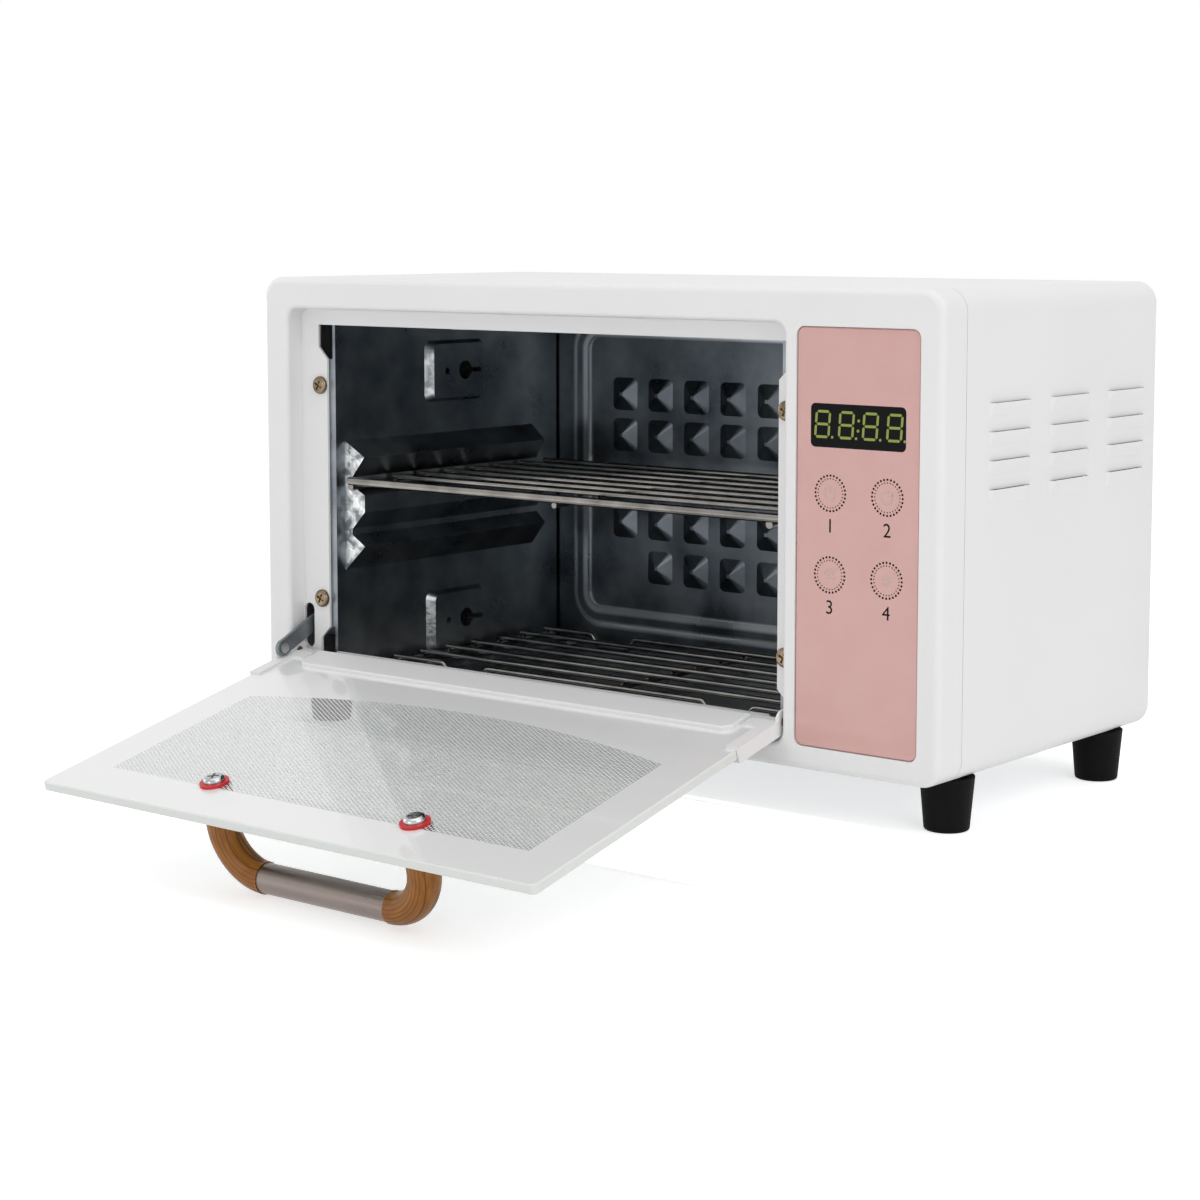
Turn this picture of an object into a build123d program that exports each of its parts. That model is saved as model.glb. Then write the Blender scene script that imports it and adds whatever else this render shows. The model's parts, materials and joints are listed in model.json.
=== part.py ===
"""Nail tool sterilizer cabinet: a steel box with a drop-down glass door, two wire racks and a touch panel.

Lengths are millimetres. The pieces are drawn in the case frame, with X across the front, Y from the
front face to the rear and Z up from the case's underside. They are written with Z = 0 at the bottom of
the feet and the origin at the centre of the four feet. The door is drawn upright in its own frame, with
the hinge axis on X, and is then turned open to where it rests against its stop.
"""
import os
from math import atan2, cos, degrees, radians, sin

from build123d import *

# Case
CASE_W = 355.5
CASE_H = 185.0
CASE_D = 165.0
CASE_CORNER_R = 9.0
CASE_SHEET = 1.0
CASE_FLANGE = 12.0
SEAM_GAP = 0.3

# Cuts, and searches for edges, run this far past the faces that they open
PAST = 1.0

# Front frame: the recess for the door and the shallow pocket for the panel, from the case's edges
FRAME_D = 15.8
FRAME_SHEET = 1.2
FRAME_EDGE_R = 3.0
RECESS_X0 = -CASE_W / 2 + 14.55
RECESS_X1 = CASE_W / 2 - 70.95
RECESS_Z0 = 9.0
RECESS_Z1 = CASE_H - 13.8
RECESS_D = 9.0
RECESS_CORNER_R = 5.0
RECESS_MOUTH_R = 2.0
POCKET_X0 = RECESS_X1 + 5.8
POCKET_X1 = CASE_W / 2 - 9.85
POCKET_Z0 = RECESS_Z0 + 0.4
POCKET_Z1 = RECESS_Z1 - 0.9
POCKET_D = 2.0
POCKET_CORNER_R = 3.5
POCKET_LEDGE = 3.0
POCKET_BAR_W = 6.0

# Hinge axis, with the door's angle when it rests on its stop
HINGE_Y = 3.6
HINGE_Z = RECESS_Z0 + 8.0
DOOR_OPEN_DEG = 103.6

# Mouth of the cavity, cut in the floor of the recess
MOUTH_X0 = RECESS_X0 + 10.8
MOUTH_X1 = RECESS_X1 - 3.2
MOUTH_Z0 = RECESS_Z0 + 4.0
MOUTH_Z1 = RECESS_Z1 - 7.2
MOUTH_TAB = 5.2
MOUTH_TAB_INSET = 10.0
MOUTH_LIP_Z = MOUTH_Z0 + 4.6
ARM_SLOT_X0 = RECESS_X0 + 0.3
ARM_SLOT_X1 = RECESS_X0 + 6.4
ARM_SLOT_Z0 = HINGE_Z + 1.1
ARM_SLOT_Z1 = HINGE_Z + 21.2
ARM_SLOT_R = 3.0
LEDGE_SCREW_Z = (RECESS_Z0 + 32.0, RECESS_Z1 - 34.2)
LEDGE_SCREW_INSET = 1.2
LEDGE_HEAD_R = 4.0
LEDGE_HEAD_H = 1.9
LEDGE_SCREW_LENGTH = 6.0
LEDGE_SCREW_TURN = 25.0

# Cavity
CAVITY_X0 = MOUTH_X0 + 8.2
CAVITY_X1 = MOUTH_X1 - 3.6
CAVITY_CX = (CAVITY_X0 + CAVITY_X1) / 2
CAVITY_Z0 = MOUTH_Z0 - 8.0
CAVITY_Z1 = CASE_H - 7.0
LINER_SHEET = 0.8
LINER_GAP = 0.3
LINER_Y0 = RECESS_D + FRAME_SHEET + LINER_GAP / 2
LINER_Y1 = CASE_D - CASE_SHEET - LINER_GAP
FLANGE_REACH = 4.0
FLANGE_HOLE_R = 1.6
FLANGE_Z0 = MOUTH_Z0 + MOUTH_TAB_INSET + MOUTH_TAB
FLANGE_Z1 = MOUTH_Z1 - MOUTH_TAB_INSET - MOUTH_TAB
FIELD_H = 0.8
FIELD_MARGIN = 12.0
FIELD_R = 16.0
TOP_FLANGE_GAP = 1.0
RAIL_Y0 = 15.4
RAIL_RIGHT_Y0 = 21.6
RAIL_Y1 = CASE_D - 20.5
RAIL_END_SLOPE = 2.4
RAIL_END_WALL = 5.0
RAIL_BACK_DEPTH = 1.4
RAIL_BACK_MARGIN = 2.5
RAIL_PEAK = 11.0
RAIL_GROOVE = 4.5

# Heights of the rails' bends, from the cavity's floor
RAIL_TOP_Z = CAVITY_Z0 + 107.8
RAIL_PEAK_Z = CAVITY_Z0 + 99.9
GROOVE_TOP_Z = CAVITY_Z0 + 90.8
GROOVE_FLOOR_Z = CAVITY_Z0 + 86.8
BULGE_TOP_Z = CAVITY_Z0 + 82.9
BULGE_FLOOR_Z = CAVITY_Z0 + 75.3
GROOVE_2_TOP_Z = CAVITY_Z0 + 67.5
GROOVE_2_FLOOR_Z = CAVITY_Z0 + 64.8
RAIL_LAST_PEAK_Z = CAVITY_Z0 + 59.8
RAIL_FLOOR_Z = CAVITY_Z0 + 47.5

# Raised pads with keyholes on the side walls
PAD_Y0 = 67.5
PAD_Y1 = 109.5
PAD_H = 4.0
PAD_Z = ((CAVITY_Z1 - 52.0, CAVITY_Z1 - 22.8), (CAVITY_Z0 + 3.7, CAVITY_Z0 + 33.3))
PAD_CORNER_R = 3.0
PAD_FOOT_R = 4.0
KEYHOLE_Y = 93.0
KEYHOLE_R = 4.4
KEYHOLE_SLOT_END = 104.2
KEYHOLE_SLOT_W = 2.2
PILOT_Y = 80.5
PILOT_R = 1.6
FLOOR_RIB_H = 2.3
FLOOR_RIB_W = 5.0
FLOOR_RIB_INSET = 22.0
FLOOR_RIB_END = 8.0

# Rear panel
REAR_SHEET = 0.8
REAR_INSET = 2.0
RING_X0 = CAVITY_X0 + 11.7
RING_X1 = CAVITY_X1 - 11.7
RING_Z0 = CAVITY_Z0 + 8.4
RING_Z1 = CAVITY_Z1 - 14.0
RING_BEAD_W = 9.0
RING_BEAD_H = 2.0
RING_WALL = 1.8
RING_CORNER_R = 16.0
PYRAMID_COLUMNS = 8
PYRAMID_PITCH = (CAVITY_X1 - CAVITY_X0) * 0.0876
PYRAMID_X0 = CAVITY_CX - 3.72 * PYRAMID_PITCH
PYRAMID_W = PYRAMID_PITCH - 6.0
PYRAMID_TALL = PYRAMID_PITCH - 4.8
PYRAMID_TIP = 1.8
PYRAMID_TIP_R = 0.5
PYRAMID_CORNER_R = 3.0
PYRAMID_H = 3.4
PYRAMID_ROOT = 0.2
PYRAMID_ROW_Z = (RING_Z1 - 36.8, RING_Z1 - 56.5, RING_Z0 + 52.1, RING_Z0 + 30.9)
REAR_SCREW_Z = (28.7, 44.8, CASE_H - 38.9)
REAR_SCREW_X = CASE_W / 2 - 6.75
REAR_HEAD_R = 3.4
REAR_HEAD_H = 2.2
REAR_SCREW_LENGTH = 7.0
GLAND_X = CASE_W / 2 - 37.75
GLAND_Z = 22.0
GLAND_R = 6.0
GLAND_DEPTH = 8.0
GLAND_HEAD_R = 8.5
GLAND_HEAD_T = 3.0
GLAND_BORE_R = 3.4

# Louvres on the right side
LOUVRE_COLUMNS = 3
LOUVRE_ROWS = 4
LOUVRE_Y0 = FRAME_D + 32.0
LOUVRE_PITCH_Y = (CASE_D - FRAME_D) * 0.3083
LOUVRE_TOP_Z = CASE_H - 43.0
LOUVRE_PITCH_Z = 10.9
LOUVRE_LENGTH = LOUVRE_PITCH_Y - 14.0
LOUVRE_HEIGHT = 7.0
LOUVRE_BULGE = 1.8
LOUVRE_SKIN = 0.6
LOUVRE_ROOT = 0.4
LOUVRE_END_SLOPE = 1.6
LOUVRE_SLIT_H = 1.6
LOUVRE_SLIT_END = 3.0

# Feet
FOOT_H = 20.9
FOOT_TOP_R = 10.6
FOOT_BOTTOM_R = 8.7
FOOT_EDGE_R = 1.2
FOOT_X = CASE_W / 2 - 13.25
FOOT_FRONT_Y = FRAME_D + 11.9
FOOT_REAR_Y = CASE_D - 19.3
FEET_CY = (FOOT_FRONT_Y + FOOT_REAR_Y) / 2
FOOT_BORE_R = 4.2
FOOT_BORE_DEPTH = 11.0
FOOT_POCKET_R = 3.9
FOOT_POCKET_DEPTH = 15.0
FOOT_SCREW_R = 2.0
FOOT_HEAD_R = 3.7
FOOT_HEAD_H = 2.6
FOOT_SLOT_L = 4.4
FOOT_SLOT_W = 0.8
FOOT_SLOT_DEPTH = 1.0
FOOT_SCREW_END = 2.0

# Door
GLASS_X0 = RECESS_X0 + 2.4
GLASS_X1 = RECESS_X1 - 2.4
GLASS_CX = (GLASS_X0 + GLASS_X1) / 2
GLASS_T = 4.0
GLASS_FACE = 0.42
GLASS_HEEL = -2.4
GLASS_TIP = RECESS_Z1 - HINGE_Z - 2.6
GLASS_CORNER_R = 2.5
GLASS_EDGE = 0.5
HINGE_RAIL_X0 = GLASS_X0 + 14.8
HINGE_RAIL_X1 = GLASS_X1 - 13.4
HINGE_RAIL_U0 = 1.5
HINGE_RAIL_U1 = 16.5
HINGE_RAIL_H = 1.9
HINGE_RAIL_CHAMFER = 3.0
HINGE_RAIL_EDGE_R = 0.7
BRACKET_SHEET = 1.0
BRACKET_GAP = 0.2
BRACKET_SEAT_GAP = 0.1
BRACKET_FLAT = 0.7
BRACKET_U0 = 3.0
BRACKET_U1 = 30.5
BRACKET_R = 4.7
BRACKET_FLANGE = 5.0
BRACKET_HEEL_W = 12.0
BRACKET_HEEL_U1 = 9.0
BRACKET_LIP = 6.0
PIN_R = 1.9
PIN_CLEARANCE = 0.05
PIN_END = 0.9

# Link arm that carries the door's spring
LINK_U = 10.6
LINK_W = 5.3
LINK_TAB_R = 3.6
ARM_WIDTH = 7.0
ARM_T = 1.5
ARM_LENGTH = 62.0
ARM_GAP = 0.3
RIVET_R = 1.6
RIVET_CLEARANCE = 0.05
RIVET_HEAD_R = 2.4
RIVET_HEAD_H = 0.7
ARM_EYE_R = 1.7
SPRING_WIRE_R = 0.45
SPRING_R = 3.2
SPRING_TURNS = 14
SPRING_GAP = 2.2
SPRING_FOOT_H = 8.0
GUIDE_DISTANCE = 27.0
GUIDE_R = 2.5
GUIDE_GAP = 0.4
GUIDE_OVERHANG = 4.5
GUIDE_PLATE = 13.0
GUIDE_SHEET = 1.2
ANCHOR_FOOT = 10.0
ANCHOR_SHEET = 1.2
ANCHOR_POST_R = 2.2
ANCHOR_POST_H = 7.0

# Handle
HANDLE_U = GLASS_TIP - 24.6
HANDLE_X = 54.5
HANDLE_DROP = 37.4
HANDLE_BEND_R = 20.0
HANDLE_GRIP_R = 6.6
SLEEVE_R = 6.2
HANDLE_SCREW_R = 2.0
HANDLE_HEAD_R = 4.4
HANDLE_HEAD_H = 2.2
HANDLE_SCREW_DEPTH = 12.0
HANDLE_SCREW_SPARE = 1.0
HANDLE_SCREW_TURN = 30.0
WASHER_R = 6.0
WASHER_T = 1.2

# Racks
RACK_Y0 = 12.8
RACK_GAP_Y = 29.0
RACK_WIRES = 7
RACK_PITCH = (CASE_D - 17.6 - RACK_Y0 - RACK_GAP_Y) / (RACK_WIRES - 1)
RACK_SIDE_INSET = 8.0
RACK_FRONT_R = 1.9
RACK_SIDE_R = 1.6
RACK_WIRE_R = 1.2
RACK_WELD = 0.3
RACK_FRONT_SINK = 0.9
RACK_FRONT_REACH = 6.0
RACK_ROD_X = 4.4
RACK_ROD_R = 1.3
RACK_ROD_END = 4.0
RACK_CLEARANCE = 0.3
RACK_DIP_X0 = -108.0
RACK_DIP_X1 = -82.0
RACK_DIP_SLOPE = 4.0
RACK_DIP_BEND = 3.0

# Control panel and electronics
PANEL_T = 1.5
PANEL_GAP = 0.25
PANEL_EDGE = 0.4
WINDOW_X0 = POCKET_X0 + 6.6
WINDOW_X1 = POCKET_X1 - 6.3
WINDOW_Z1 = POCKET_Z1 - 28.9
WINDOW_Z0 = WINDOW_Z1 - 16.6
WINDOW_R = 2.0
WINDOW_GAP = 0.05
MODULE_INSET = 1.0
KEY_X = (POCKET_X0 + 15.7, POCKET_X1 - 14.2)
KEY_Z = (WINDOW_Z0 - 17.3, WINDOW_Z0 - 48.3)
KEY_PAD_R = 5.0
KEY_PAD_WALL = 1.5
KEY_PAD_FACE = 1.0
BOARD_T = 1.6
BOARD_Y = 10.0
BOARD_MARGIN = 4.0
BOARD_HEAD_R = 2.6
BOARD_HEAD_H = 1.6
BOARD_SCREW_LENGTH = 6.0
STANDOFF_R = 2.5
STANDOFF_FLOOR = 1.0
SCREW_SHANK_R = 1.4
PCB_X0 = CAVITY_X1 + 6.0
PCB_X1 = CASE_W / 2 - 9.75
PCB_Y1 = CASE_D - 27.0
PCB_Y0 = PCB_Y1 - 80.0
PCB_Z = 9.0
LAMP_R = 8.0
LAMP_LENGTH = CAVITY_X1 - CAVITY_X0 - 54.2
LAMP_CAP_R = 8.3
LAMP_CAP_LENGTH = 10.0
LAMP_Y = CASE_D / 2 + 5.5
LAMP_Z = CAVITY_Z1 - 9.0
HOLDER_W = 9.0
HOLDER_D = 18.0
HEATER_W = CAVITY_X1 - CAVITY_X0 - 84.2
HEATER_T = 1.6
HEATER_Y = (50.0, CASE_D - 35.0)
BALLAST_W = 24.0
BALLAST_Y = (CASE_D - 105.0, CASE_D - 25.0)
BALLAST_Z = (CAVITY_Z1 - 60.0, CAVITY_Z1 - 38.0)
CUTOUT_R = 8.0
CUTOUT_H = 6.0
CUTOUT_Y = 40.0
CUTOUT_Z = 60.0
CUTOUT_EAR_T = 1.2

# What stands on the power board: x and y from its front left corner, then width, depth and height
TRANSFORMER_CORE = (6.0, 10.0, 32.0, 30.0, 26.0)
TRANSFORMER_COIL = (10.0, 5.0, 24.0, 40.0, 18.0)
TRANSFORMER_COIL_LIFT = 4.0
RELAY = (6.0, 56.0, 16.0, 19.0, 15.0)
RELAY_PITCH = 20.0
RELAY_COUNT = 2
TERMINAL = (46.0, 64.0, 12.0, 12.0, 12.0)
TERMINAL_HOLE_R = 2.0
CAPACITOR_X = 50.0
CAPACITOR_PITCH = 14.0
CAPACITOR_COUNT = 3
CAPACITOR_R = 5.0
CAPACITOR_H = 20.0


def block(x0, x1, y0, y1, z0, z1):
    """A box between two corners."""
    size = Box(abs(x1 - x0), abs(y1 - y0), abs(z1 - z0))
    return Pos((x0 + x1) / 2, (y0 + y1) / 2, (z0 + z1) / 2) * size


def rod_x(radius, x0, x1, y, z):
    return Pos((x0 + x1) / 2, y, z) * Rot(Y=90) * Cylinder(radius, abs(x1 - x0))


def rod_y(radius, y0, y1, x, z):
    return Pos(x, (y0 + y1) / 2, z) * Rot(X=90) * Cylinder(radius, abs(y1 - y0))


def rod_z(radius, z0, z1, x, y):
    return Pos(x, y, (z0 + z1) / 2) * Cylinder(radius, abs(z1 - z0))


def rounded_face(x0, x1, z0, z1, radius):
    """A rounded rectangle that faces the front, in the plane y = 0."""
    outline = RectangleRounded(x1 - x0, z1 - z0, radius)
    return Plane.XZ * Pos((x0 + x1) / 2, (z0 + z1) / 2) * outline


def rounded_prism(x0, x1, z0, z1, radius, y0, y1):
    return Pos(0, y1, 0) * extrude(rounded_face(x0, x1, z0, z1, radius), amount=y1 - y0)


def front_prism(points, y0, y1):
    """Extrudes an outline of (x, z) points from y0 to y1."""
    face = Plane.XZ * make_face(Polyline(*points, close=True))
    return Pos(0, y1, 0) * extrude(face, amount=y1 - y0)


def edges_at_y(shape, y, x0, x1):
    """The edges that lie in the plane y, with their centres between x0 and x1."""
    found = []
    for edge in shape.edges():
        box = edge.bounding_box()
        flat = abs(box.min.Y - y) < 0.01 and abs(box.max.Y - y) < 0.01
        if flat and x0 < box.center().X < x1:
            found.append(edge)
    return found


def mouth_outline():
    """The mouth's outline: a rectangle whose sides step in between its cut corners."""
    left = MOUTH_X0 + MOUTH_TAB
    right = MOUTH_X1 - MOUTH_TAB
    low = MOUTH_Z0 + MOUTH_TAB_INSET
    high = MOUTH_Z1 - MOUTH_TAB_INSET
    lip = MOUTH_LIP_Z - MOUTH_Z0
    return [
        (MOUTH_X0, MOUTH_Z0),
        (MOUTH_X0, low),
        (left, low + MOUTH_TAB),
        (left, high - MOUTH_TAB),
        (MOUTH_X0, high),
        (MOUTH_X0, MOUTH_Z1),
        (MOUTH_X1, MOUTH_Z1),
        (MOUTH_X1, high),
        (right, high - MOUTH_TAB),
        (right, low + MOUTH_TAB),
        (MOUTH_X1, low),
        (MOUTH_X1, MOUTH_Z0),
        (right, MOUTH_Z0),
        (right - lip, MOUTH_LIP_Z),
        (left + lip, MOUTH_LIP_Z),
        (left, MOUTH_Z0),
    ]


def ledge_screw_places():
    """(x, z) of the four screws that hold the liner's sides to the frame."""
    left = MOUTH_X0 + LEDGE_SCREW_INSET
    right = MOUTH_X1 - LEDGE_SCREW_INSET
    return [(x, z) for x in (left, right) for z in LEDGE_SCREW_Z]


def standoff_places():
    """(x, z) of the four posts that carry the control board."""
    left = POCKET_X0 + BOARD_MARGIN
    right = POCKET_X1 - BOARD_MARGIN
    low = POCKET_Z0 + BOARD_MARGIN
    high = POCKET_Z1 - BOARD_MARGIN
    return [(x, z) for x in (left, right) for z in (low, high)]


def front_frame():
    """The painted front: a flanged shell with the door's recess and the panel's shallow pocket."""
    half = CASE_W / 2
    shell = rounded_prism(-half, half, 0, CASE_H, CASE_CORNER_R, 0, FRAME_D)
    shell = fillet(edges_at_y(shell, 0, -half - PAST, half + PAST), FRAME_EDGE_R)
    inner = half - FRAME_SHEET
    inner_r = CASE_CORNER_R - FRAME_SHEET
    high = CASE_H - FRAME_SHEET
    hollow = rounded_prism(-inner, inner, FRAME_SHEET, high, inner_r, FRAME_SHEET, FRAME_D + PAST)
    hollow = fillet(edges_at_y(hollow, FRAME_SHEET, -half, half), FRAME_EDGE_R - FRAME_SHEET)
    tub = rounded_prism(
        RECESS_X0 - FRAME_SHEET,
        RECESS_X1 + FRAME_SHEET,
        RECESS_Z0 - FRAME_SHEET,
        RECESS_Z1 + FRAME_SHEET,
        RECESS_CORNER_R + FRAME_SHEET,
        FRAME_SHEET / 2,
        RECESS_D + FRAME_SHEET,
    )
    tray = rounded_prism(
        POCKET_X0 - FRAME_SHEET,
        POCKET_X1 + FRAME_SHEET,
        POCKET_Z0 - FRAME_SHEET,
        POCKET_Z1 + FRAME_SHEET,
        POCKET_CORNER_R + FRAME_SHEET,
        FRAME_SHEET / 2,
        POCKET_D + FRAME_SHEET,
    )
    recess = rounded_prism(RECESS_X0, RECESS_X1, RECESS_Z0, RECESS_Z1, RECESS_CORNER_R, -PAST, RECESS_D)
    pocket = rounded_prism(POCKET_X0, POCKET_X1, POCKET_Z0, POCKET_Z1, POCKET_CORNER_R, -PAST, POCKET_D)
    frame = shell - hollow + tub + tray - recess - pocket
    frame = fillet(edges_at_y(frame, 0, RECESS_X0 - PAST, RECESS_X1 + PAST), RECESS_MOUTH_R)
    frame -= front_prism(mouth_outline(), RECESS_D - PAST, RECESS_D + FRAME_SHEET + PAST)
    frame -= pocket_windows()
    slot = (ARM_SLOT_X0, ARM_SLOT_X1, ARM_SLOT_Z0, ARM_SLOT_Z1)
    frame -= rounded_prism(*slot, ARM_SLOT_R, RECESS_D - PAST, RECESS_D + FRAME_SHEET + PAST)
    for x, z in ledge_screw_places():
        frame -= rod_y(SCREW_SHANK_R, RECESS_D - PAST, RECESS_D + FRAME_SHEET + PAST, x, z)
    hole = PIN_R + PIN_CLEARANCE
    frame -= rod_x(hole, RECESS_X0 - FRAME_SHEET - PAST, RECESS_X0 + PAST, HINGE_Y, HINGE_Z)
    frame -= rod_x(hole, RECESS_X1 - PAST, RECESS_X1 + FRAME_SHEET + PAST, HINGE_Y, HINGE_Z)
    return frame


def pocket_windows():
    """Cuts through the pocket's floor that let the display and the touch pads reach the panel."""
    x0 = POCKET_X0 + POCKET_LEDGE
    x1 = POCKET_X1 - POCKET_LEDGE
    z0 = POCKET_Z0 + 2 * POCKET_LEDGE + 2 * BOARD_MARGIN
    z1 = POCKET_Z1 - 2 * POCKET_LEDGE - 2 * BOARD_MARGIN
    bar_z = sum(KEY_Z) / len(KEY_Z)
    y0 = POCKET_D - PAST
    y1 = POCKET_D + FRAME_SHEET + PAST
    cuts = block(x0, x1, y0, y1, z0, bar_z - POCKET_BAR_W / 2)
    return cuts + block(x0, x1, y0, y1, bar_z + POCKET_BAR_W / 2, z1)


def louvre(y, z):
    """One louvre on the right side: (pressed-out skin, space behind it), open along its top edge."""
    x = CASE_W / 2
    reach = LOUVRE_LENGTH / 2
    low = z - LOUVRE_HEIGHT

    def scoop(bulge, top, ends):
        root = x - LOUVRE_ROOT
        side = Plane.XZ * make_face(Polyline((root, low), (x + bulge, top), (root, top), close=True))
        wedge = Pos(0, y + reach, 0) * extrude(side, amount=2 * reach)
        plan = [
            (x - CASE_SHEET / 2, y - reach + ends),
            (x + bulge, y - reach + ends + bulge * LOUVRE_END_SLOPE),
            (x + bulge, y + reach - ends - bulge * LOUVRE_END_SLOPE),
            (x - CASE_SHEET / 2, y + reach - ends),
        ]
        tall = LOUVRE_HEIGHT + 2 * PAST
        return wedge & Pos(0, 0, low - PAST) * extrude(make_face(Polyline(*plan, close=True)), amount=tall)

    skin = scoop(LOUVRE_BULGE, z, 0)
    inside = LOUVRE_BULGE - LOUVRE_SKIN
    space = scoop(inside, z + 0.01, LOUVRE_SKIN)
    half = reach - LOUVRE_SLIT_END
    slit = block(x - CASE_SHEET - PAST, x + inside, y - half, y + half, z - LOUVRE_SLIT_H, z + 0.01)
    return skin, space + slit


def outer_case():
    """The wrapped sheet of the top and sides, turned in under the base and behind the rear."""
    half = CASE_W / 2
    y0 = FRAME_D + SEAM_GAP
    case = rounded_prism(-half, half, 0, CASE_H, CASE_CORNER_R, y0, CASE_D)
    inner = half - CASE_SHEET
    inner_r = CASE_CORNER_R - CASE_SHEET
    y1 = CASE_D - CASE_SHEET
    case -= rounded_prism(-inner, inner, CASE_SHEET, CASE_H - CASE_SHEET, inner_r, y0 - PAST, y1)
    reach = half - CASE_FLANGE
    case -= block(-reach, reach, CASE_D - 2 * CASE_SHEET, CASE_D + PAST, CASE_FLANGE, CASE_H - CASE_FLANGE)
    case -= block(-reach, reach, y0 - PAST, CASE_D + PAST, -PAST, CASE_FLANGE + PAST)
    for side in (-1, 1):
        for z in REAR_SCREW_Z:
            case -= rod_y(SCREW_SHANK_R, CASE_D - 2 * CASE_SHEET, CASE_D + PAST, side * REAR_SCREW_X, z)
    for column in range(LOUVRE_COLUMNS):
        for row in range(LOUVRE_ROWS):
            y = LOUVRE_Y0 + column * LOUVRE_PITCH_Y
            skin, space = louvre(y, LOUVRE_TOP_Z - row * LOUVRE_PITCH_Z)
            case = case + skin - space
    for x, y in foot_places():
        case -= rod_z(FOOT_SCREW_R, -PAST, CASE_SHEET + PAST, x, y)
    return case


def foot_places():
    return [(x, y) for y in (FOOT_FRONT_Y, FOOT_REAR_Y) for x in (-FOOT_X, FOOT_X)]


def base_plate():
    """The floor sheet of the case. It rests on the case's turned-in edges."""
    half = CASE_W / 2 - CASE_CORNER_R - SEAM_GAP
    y0 = FRAME_D + SEAM_GAP
    z0 = CASE_SHEET
    plate = block(-half, half, y0, CASE_D - CASE_SHEET, z0, z0 + CASE_SHEET)
    for x, y in foot_places():
        plate -= rod_z(FOOT_SCREW_R, 0, z0 + CASE_SHEET + PAST, x, y)
    return plate


def ring_prism(inset, y0, y1):
    """A rounded block with the pressed ring's outline, drawn in by inset."""
    low = (RING_X0 + inset, RING_Z0 + inset)
    high = (RING_X1 - inset, RING_Z1 - inset)
    return rounded_prism(low[0], high[0], low[1], high[1], RING_CORNER_R - inset, y0, y1)


def rear_panel():
    """The rear sheet, whose inside is also the cavity's back wall: a pressed ring and rows of pyramids."""
    half = CASE_W / 2 - REAR_INSET
    y0 = CASE_D
    y1 = CASE_D + REAR_SHEET
    panel = rounded_prism(-half, half, REAR_INSET, CASE_H - REAR_INSET, CASE_CORNER_R - REAR_INSET, y0, y1)
    front = y0 - RING_BEAD_H
    bead = ring_prism(0, front, y0)
    bead = chamfer(edges_at_y(bead, front, -half, half), RING_BEAD_H * 0.8)
    panel = panel + (bead - ring_prism(RING_BEAD_W, front - PAST, y0))
    groove = ring_prism(RING_WALL, front + REAR_SHEET, y1 + PAST)
    panel -= groove - ring_prism(RING_BEAD_W - RING_WALL, front - PAST, y1 + 2)
    for row, z in enumerate(PYRAMID_ROW_Z):
        first = 1 if row == len(PYRAMID_ROW_Z) - 1 else 0
        for column in range(first, PYRAMID_COLUMNS):
            x = PYRAMID_X0 + column * PYRAMID_PITCH
            panel += pyramid(x, z, PYRAMID_W, PYRAMID_TALL, y0 + PYRAMID_ROOT, PYRAMID_H + PYRAMID_ROOT)
            shrink = 2 * REAR_SHEET
            panel -= pyramid(x, z, PYRAMID_W - shrink, PYRAMID_TALL - shrink, y1 + 0.01, PYRAMID_H + 0.01)
    for side in (-1, 1):
        for z in REAR_SCREW_Z:
            panel -= rod_y(SCREW_SHANK_R, y0 - PAST, y1 + PAST, side * REAR_SCREW_X, z)
    panel -= rod_y(GLAND_R, y0 - PAST, y1 + PAST, GLAND_X, GLAND_Z)
    return panel


def pyramid(x, z, width, tall, y, height):
    """A round-cornered four-sided point that rises from the plane y towards the front."""
    base = Plane.XZ * Pos(x, z) * RectangleRounded(width, tall, PYRAMID_CORNER_R)
    tip = Plane.XZ * Pos(x, z) * RectangleRounded(PYRAMID_TIP, PYRAMID_TIP, PYRAMID_TIP_R)
    return loft([Pos(0, y, 0) * base, Pos(0, y - height, 0) * tip])


def rail_face(mirror):
    """The rails' outline seen from the front, as a face that stands on the wall."""
    wall = CAVITY_X0 if mirror > 0 else CAVITY_X1
    steps = [
        (-LINER_SHEET / 2, RAIL_TOP_Z),
        (RAIL_PEAK, RAIL_PEAK_Z),
        (RAIL_GROOVE, GROOVE_TOP_Z),
        (RAIL_GROOVE, GROOVE_FLOOR_Z),
        (RAIL_PEAK, BULGE_TOP_Z),
        (RAIL_PEAK, BULGE_FLOOR_Z),
        (RAIL_GROOVE, GROOVE_2_TOP_Z),
        (RAIL_GROOVE, GROOVE_2_FLOOR_Z),
        (RAIL_PEAK, RAIL_LAST_PEAK_Z),
        (-LINER_SHEET / 2, RAIL_FLOOR_Z),
    ]
    return make_face(Polyline(*[(wall + mirror * p, z) for p, z in steps], close=True))


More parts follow.
